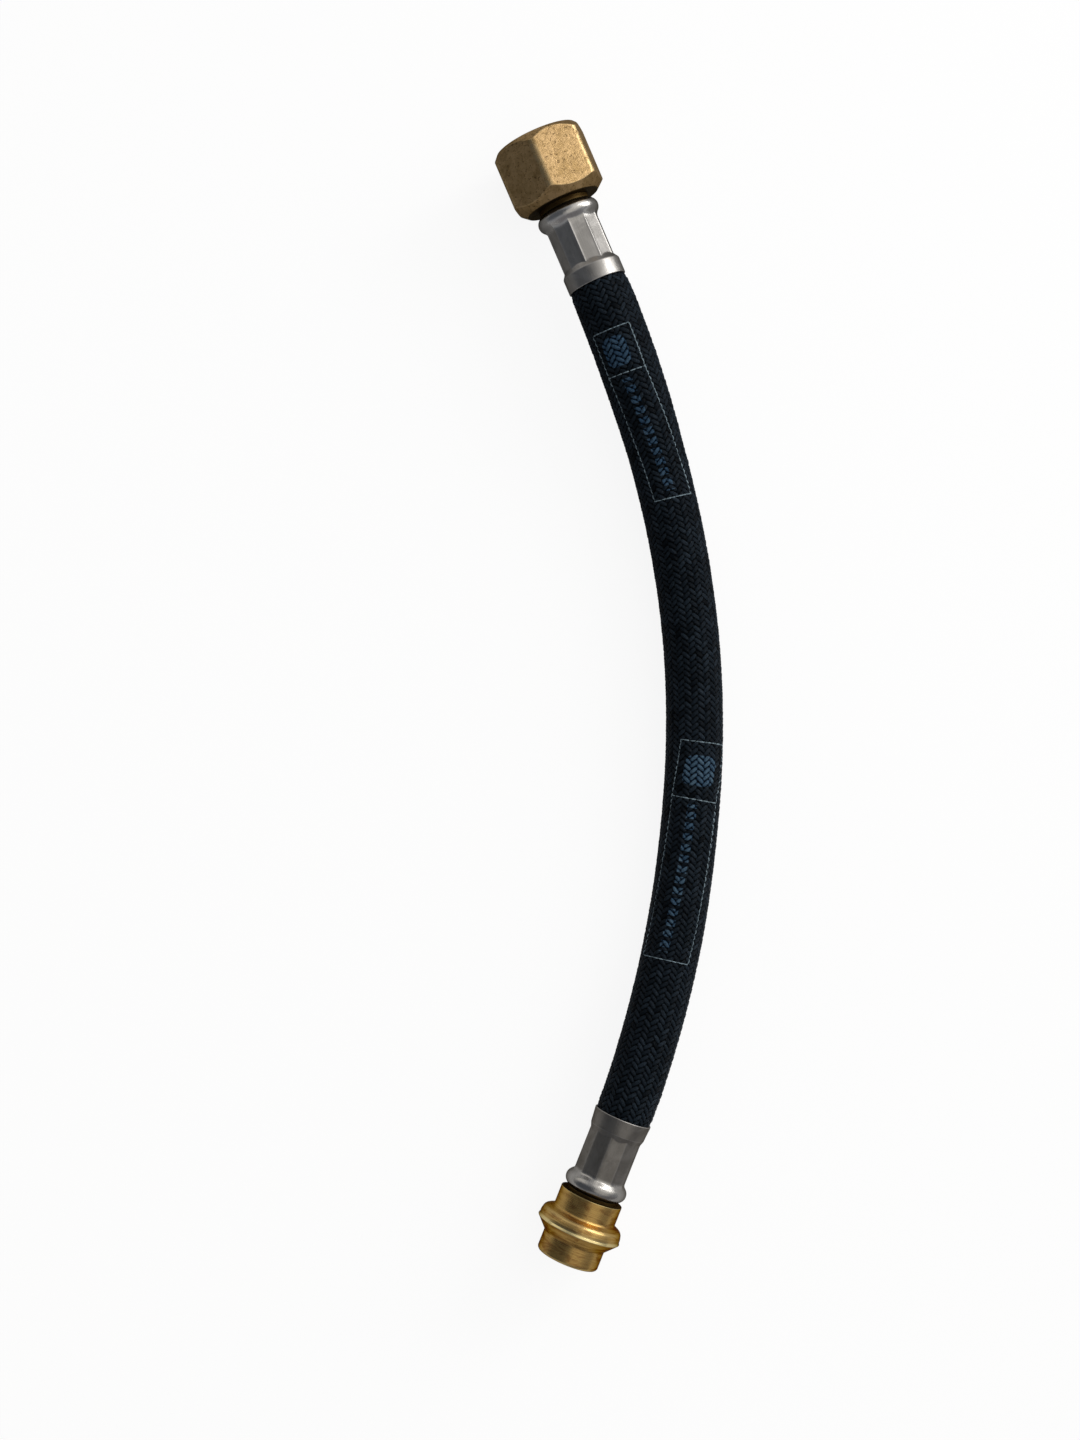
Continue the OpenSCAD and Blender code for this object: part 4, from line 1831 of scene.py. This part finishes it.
@dataclass(frozen=True)
class UnionNut:
    """The hexagon nut: corners worn bright with a painted highlight, bevelled ends, a helical thread in its
    mouth.
    """

    axis: EndAxis
    across_flats: float = 25.0
    corner_round: float = 2.4
    corner_points: int = 8
    corner_fade: float = 0.6  # power of the wave that a corner's brightness follows
    flat_points: int = 13
    brightness: float = 0.7  # of the other edges, against the corners
    turn: float = -11.2  # angle of one corner from up, in degrees
    back: float = 24.5
    mouth: float = 44.05
    back_face: float = 10.5  # radius of the round back face
    mouth_face: float = 11.8  # radius of the round face at the mouth
    back_bevel: float = 3.4
    front_bevel: float = 3.0
    bore_edge: float = 0.2  # radii of its edges, from the back outwards and in again
    back_edge: float = 0.45
    bevel_edge: float = 0.5
    mouth_edge: float = 0.4
    inner_edge: float = 0.1
    hub_edge: float = 0.15
    back_wall: float = 3.0
    hub_bore: float = 7.33
    relief: float = 10.5975
    thread_from: float = 33.65
    minor: float = 9.3155
    depth: float = 1.162
    thread_pitch: float = 1.814
    thread_power: float = 0.85  # under 1, its crests are sharper than its roots
    run_in: float = 0.5  # length over which the thread starts
    thread_edge: float = 0.05  # length of the edge behind it
    thread_points: int = 84  # along the threaded wall
    countersink: float = 1.2
    land: float = 0.02  # small bevel between the countersink and the round face at the mouth

    def _outline(self) -> tuple[np.ndarray, np.ndarray, np.ndarray]:
        """Draws the hexagon with rounded corners.

        Returns:
            Angle and radius of each point, and how bright its corner is worn and painted with a highlight
            there.
        """
        apothem, soft = self.across_flats / 2, self.corner_round
        corner = (apothem - soft) / math.cos(math.pi / 6)
        half = (apothem - soft) * math.tan(math.pi / 6)
        xs, ys, bright = [], [], []
        for k in range(6):
            middle = math.radians(self.turn) + k * math.pi / 3
            for step in np.linspace(-1, 1, self.corner_points):
                a = middle + step * math.pi / 6
                xs.append(corner * math.cos(middle) + soft * math.cos(a))
                ys.append(corner * math.sin(middle) + soft * math.sin(a))
                wave = math.cos(step * math.pi / 2)
                bright.append(wave**self.corner_fade if abs(step) < 1 else 0.0)
            normal = middle + math.pi / 6
            for step in np.linspace(-1, 1, self.flat_points)[1:-1]:
                xs.append(apothem * math.cos(normal) - step * half * math.sin(normal))
                ys.append(apothem * math.sin(normal) + step * half * math.cos(normal))
                bright.append(0.0)
        x, y = np.array(xs), np.array(ys)
        return np.unwrap(np.arctan2(y, x)), np.hypot(x, y), np.array(bright)

    def _thread(self, angle: float, stations: np.ndarray) -> np.ndarray:
        """Radius of the threaded wall at one angle: a right-handed helix with a countersunk mouth.

        Args:
            angle: where round the axis, in radians.
            stations: where along it.

        Returns:
            The radius at each station.
        """
        phase = stations / self.thread_pitch - angle / (2 * math.pi)
        wave = 0.5 - 0.5 * np.cos(2 * math.pi * phase)
        run_in = np.clip((stations - self.thread_from) / self.run_in, 0, 1)
        threaded = self.minor + self.depth * wave**self.thread_power * run_in
        into = (stations - self.mouth + self.countersink) / self.countersink
        sink = self.minor + self.depth * np.clip(into, 0, 1)
        return np.maximum(threaded, np.where(into > 0, sink, 0))

    def _corners(self, angle: float, hexagon: float) -> list[Corner]:
        """Draws the nut's half section at one angle.

        Args:
            angle: where round the axis, in radians.
            hexagon: the hexagon's radius there.

        Returns:
            Its corners, out over the nut from the back to the mouth and back through the thread.
        """
        sharp = self.across_flats / 2 / math.cos(math.pi / 6)
        behind = self.back_bevel * (hexagon - self.back_face) / (sharp - self.back_face)
        ahead = self.front_bevel * (hexagon - self.mouth_face) / (sharp - self.mouth_face)
        wall = np.linspace(self.mouth - self.land, self.thread_from, self.thread_points)
        chamber = self.back + self.back_wall
        return [
            Corner(self.hub_bore, self.back, self.bore_edge),
            Corner(self.back_face, self.back, self.back_edge),
            Corner(hexagon, self.back + behind, self.bevel_edge),
            Corner(hexagon, self.mouth - ahead, self.bevel_edge),
            Corner(self.mouth_face, self.mouth, self.mouth_edge),
            Corner(self.minor + self.depth + self.land, self.mouth, self.inner_edge),
            *(Corner(radius, station) for radius, station in zip(self._thread(angle, wall), wall)),
            Corner(self.relief, self.thread_from - self.thread_edge),
            Corner(self.relief, chamber, self.inner_edge),
            Corner(self.hub_bore, chamber, self.hub_edge),
        ]

    def build(self, material: bpy.types.Material) -> bpy.types.Object:
        """Builds the nut and dresses it.

        Args:
            material: the nut's finish.

        Returns:
            The nut's object.
        """
        angles, outline, corner_bright = self._outline()
        radii, stations, edges = [], [], []
        for angle, hexagon, bright in zip(angles, outline, corner_bright):
            section, rim = rounded(self._corners(angle, hexagon), ROUND_STEPS)
            outer = np.arange(len(section)) < 5 * ROUND_STEPS  # the rounds on the back, flats and mouth
            rim[~outer] = 0
            on_flats = (section[:, 0] > hexagon - NEAR) & outer
            radii.append(section[:, 0])
            stations.append(section[:, 1])
            # edges and corners: worn bright, with a painted highlight
            edges.append(np.maximum(rim * self.brightness, np.where(on_flats, bright, 0)))
        grids = (np.array(rows) for rows in (radii, stations, edges))
        piece = self.axis.ring("union_nut_pressed", angles, *grids)
        finish_piece(piece, material, Body.NUT, Slot.NUT, "union_nut")
        return piece


# ---------------------------------------------------------------------------------------------
# The studio
# ---------------------------------------------------------------------------------------------


@dataclass(frozen=True)
class Glow:
    """A soft round patch of the room's light."""

    colour: Colour
    azimuth: float  # which way it is, in degrees anticlockwise from the picture's right
    lean: float  # how far its middle leans from straight up, in degrees
    fades: float  # angle from its middle where it ends, in degrees
    full: float  # and up to which it has its own colour


@dataclass(frozen=True)
class Studio:
    """Pale floor, soft lamps and the camera straight above the hose."""

    centre: Pair = (-63.0, -139.6)
    plane: float = -3.6  # height that the framing was settled for
    distance: float = 620.4
    lens: float = 55.0
    roll: float = 23.2  # by which the picture's top is turned from the nut's axis, in degrees
    floor_size: float = 3.0  # in metres
    floor_rows: int = 9
    white: float = 0.89  # the floor's own glow as seen, which the lamps bring up to white
    dim_from: float = -200.0  # along y, where a painted shadow starts: the floor that metal mirrors, and its paper, start to dim
    dim_to: float = -50.0  # and where that painted shadow is darkest, under the nut
    mirrored: Pair = (0.24, 0.07)  # share of the glow that metal mirrors, from the first to the second
    paper: Pair = (0.55, 0.26)  # how pale the paper is otherwise, in the same way
    paper_mirrored: Colour = (0.18, 0.18, 0.18)
    room: Colour = linear("909296")
    glows: tuple[Glow, ...] = (
        Glow(linear("646569"), 200, 20, 36, 14),
        Glow(linear("c8c6c2"), -30, 24, 36, 14),
        Glow(linear("dad8d4"), 135, 86, 50, 20),
        Glow(linear("fffdf9"), 40, 60, 50, 16),
        Glow(linear("78777a"), -70, 86, 50, 22),
        Glow(linear("565a60"), 182, 54, 50, 20),
    )

    @property
    def right(self) -> np.ndarray:
        """Direction to the picture's right."""
        return np.array((math.cos(math.radians(self.roll)), -math.sin(math.radians(self.roll)), 0.0))

    @property
    def top(self) -> np.ndarray:
        """Direction to the picture's top."""
        return np.array((math.sin(math.radians(self.roll)), math.cos(math.radians(self.roll)), 0.0))

    def camera(self) -> bpy.types.Object:
        """Places the camera and makes it the scene's.

        Returns:
            The camera's object.
        """
        data = bpy.data.cameras.new("studio_camera")
        data.lens = self.lens
        data.sensor_width = 36.0
        data.clip_start, data.clip_end = 0.01, 20.0
        camera = bpy.data.objects.new("studio_camera", data)
        turn = Matrix((self.right, self.top, np.cross(self.right, self.top))).transposed()
        camera.matrix_world = turn.to_4x4()
        camera.location = Vector((*self.centre, self.plane + self.distance)) * MM
        bpy.context.scene.collection.objects.link(camera)
        bpy.context.scene.camera = camera
        return camera

    def floor(self, height: float) -> bpy.types.Object:
        """Lays the pale floor.

        Args:
            height: its height, in metres.

        Returns:
            The floor's object.
        """
        half = self.floor_size / 2
        steps = np.linspace(-half, half, self.floor_rows)
        x, y = np.meshgrid(steps + self.centre[0] * MM, steps + self.centre[1] * MM, indexing="ij")
        points = np.stack([x, y, np.full_like(x, height)], axis=-1).reshape(-1, 3)
        faces = grid_faces(1, self.floor_rows, self.floor_rows)[:, ::-1]
        floor = mesh_object("studio_floor", points, faces, {})
        floor.data.materials.append(self._paper())
        floor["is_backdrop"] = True
        return floor

    def _paper(self) -> bpy.types.Material:
        """Makes the floor's paper: white to the camera, and dimmer in what the metal mirrors of it, with a
        painted shadow that darkens towards the nut.

        Returns:
            The new material.
        """
        material = bpy.data.materials.new("studio_floor_paper")
        material.use_nodes = True
        material.node_tree.nodes.clear()
        graph = Graph(material.node_tree)
        paper = graph.node("BsdfDiffuse")
        glow = graph.node("Emission")
        glow.inputs["Color"].default_value = (1, 1, 1, 1)
        rays = graph.node("LightPath").outputs
        # painted shadow: what metal mirrors of the floor, and the paper, dim towards the nut
        place = graph.parts(graph.node("TexCoord").outputs["Object"])["Y"]
        limits = (self.dim_from * MM, self.dim_to * MM)
        mirrored = graph.times(rays["Is Glossy Ray"], graph.ramp(place, *limits, *self.mirrored))
        seen = graph.larger(rays["Is Camera Ray"], rays["Is Transmission Ray"])
        graph.feed(glow.inputs["Strength"], graph.times(graph.larger(seen, mirrored), self.white))
        pale = graph.ramp(place, *limits, *self.paper)
        graph.feed(paper.inputs["Color"], graph.mix(rays["Is Glossy Ray"], self.paper_mirrored, pale))
        both = graph.node("AddShader")
        graph.feed(both.inputs[0], paper.outputs[0])
        graph.feed(both.inputs[1], glow.outputs[0])
        output = graph.node("OutputMaterial")
        graph.feed(output.inputs[0], both.outputs[0])
        return material

    def toward(self, azimuth: float, lean: float) -> np.ndarray:
        """Direction that leans this far from straight up.

        Args:
            azimuth: which way it leans, in degrees anticlockwise from the picture's right.
            lean: by how much, in degrees.

        Returns:
            A unit vector.
        """
        turn, tilt = math.radians(azimuth), math.radians(lean)
        flat = self.right * math.cos(turn) + self.top * math.sin(turn)
        return flat * math.sin(tilt) + np.array((0, 0, 1)) * math.cos(tilt)

    def dome(self) -> None:
        """Lights the world: a grey room with soft paler and darker patches, the palest on the right."""
        world = bpy.data.worlds.new("studio_dome")
        bpy.context.scene.world = world
        world.use_nodes = True
        world.node_tree.nodes.clear()
        graph = Graph(world.node_tree)
        where = graph.node("TexCoord").outputs["Generated"]
        colour: object = self.room
        for glow in self.glows:
            dot = graph.node("VectorMath", operation="DOT_PRODUCT")
            graph.feed(dot.inputs[0], where)
            graph.feed(dot.inputs[1], tuple(float(v) for v in self.toward(glow.azimuth, glow.lean)))
            limits = (math.cos(math.radians(angle)) for angle in (glow.fades, glow.full))
            colour = graph.mix(graph.ramp(dot.outputs["Value"], *limits), colour, glow.colour)
        seen = graph.node("LightPath").outputs["Is Camera Ray"]
        background = graph.node("Background")
        graph.feed(background.inputs["Color"], graph.mix(seen, colour, (1.0, 1.0, 1.0)))
        output = graph.node("OutputWorld")
        graph.feed(output.inputs[0], background.outputs[0])

    def lamp(
        self, name: str, azimuth: float, lean: float, away: float, size: float, power: float
    ) -> bpy.types.Object:
        """Hangs a square soft lamp that faces the hose.

        Args:
            name: the lamp's name.
            azimuth: which way it is, in degrees anticlockwise from the picture's right.
            lean: how far it leans from straight up, in degrees.
            away: its distance, in metres.
            size: its side, in metres.
            power: its power, in watts.

        Returns:
            The lamp's object.
        """
        data = bpy.data.lights.new(name, "AREA")
        data.shape = "SQUARE"
        data.size = size
        data.energy = power
        lamp = bpy.data.objects.new(name, data)
        aim = Vector(self.toward(azimuth, lean))
        lamp.location = Vector((*self.centre, 0)) * MM + aim * away
        lamp.rotation_euler = aim.to_track_quat("Z", "Y").to_euler()
        bpy.context.scene.collection.objects.link(lamp)
        return lamp

    def light(self) -> None:
        """Sets the colour view, the dome and the lamps."""
        bpy.context.scene.view_settings.view_transform = "Standard"
        self.dome()
        self.lamp("key_softbox", azimuth=40, lean=62, away=1.1, size=0.3, power=1.3)
        self.lamp("side_window", azimuth=30, lean=81, away=1.0, size=0.6, power=2.7)


def main() -> None:
    """Builds the camera, the hose, the fittings and the studio, in that order."""
    logging.basicConfig(level=logging.INFO, format="%(name)s: %(message)s")
    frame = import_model()
    before = [[float(x) for x in corner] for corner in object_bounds()]
    studio = Studio()
    studio.camera()

    route = HoseRoute()
    hose = BraidedHose(route)
    hose.build(frame["nodes"])
    hose.dress_layers(frame["nodes"])

    line = route.line(2)
    nut_end = EndAxis(tuple(line[0]), tuple(-route.start_way))
    spigot_end = EndAxis(tuple(line[-1]), tuple(route.end_way))

    steel = DrawnSteel("drawn_steel").material()
    turned = TurnedBrass("turned_brass").material()
    CrimpedFerrule(
        nut_end,
        "nut_ferrule_drawn",
        "nut_ferrule",
        turn=-10.0,
        ridge=0.08,
        softness=0.7,
        fillet=2.6,
    ).build(steel)
    # a darker, rougher copy of the drawn steel for the spigot's ferrule: painted shade for that end
    shaded_spigot_steel = DrawnSteel(
        "shaded_spigot_steel",
        bright=linear("8f8b86"),
        dull=linear("75716b"),
        polished=linear("bdbab6"),
        tint=linear("918e89"),
        rough=(0.3, 0.7, 0.36, 0.48),
        shine=0.24,
    ).material()
    CrimpedFerrule(
        spigot_end,
        "spigot_ferrule_drawn",
        "spigot_ferrule",
        turn=12.0,
        ridge=0.02,
        softness=3.0,
        mouth_radius=8.3,
        mouth_narrows=0.4,
    ).build(shaded_spigot_steel)
    # the insert's hub, in the gap between the nut and the ferrule's bead, is darkened with painted shade
    NutInsert(nut_end).build(TurnedBrass("gap_shaded_brass", gap_shade_to=27.45).material())
    # the spigot insert's collar back face, next to the ferrule's bead, takes painted shade
    SpigotInsert(spigot_end).build(turned)
    SealWasher(nut_end).build()
    UnionNut(nut_end).build(PressedBrass("pressed_brass").material())

    studio.floor(before[0][2])
    studio.light()


if __name__ == "__main__":
    main()
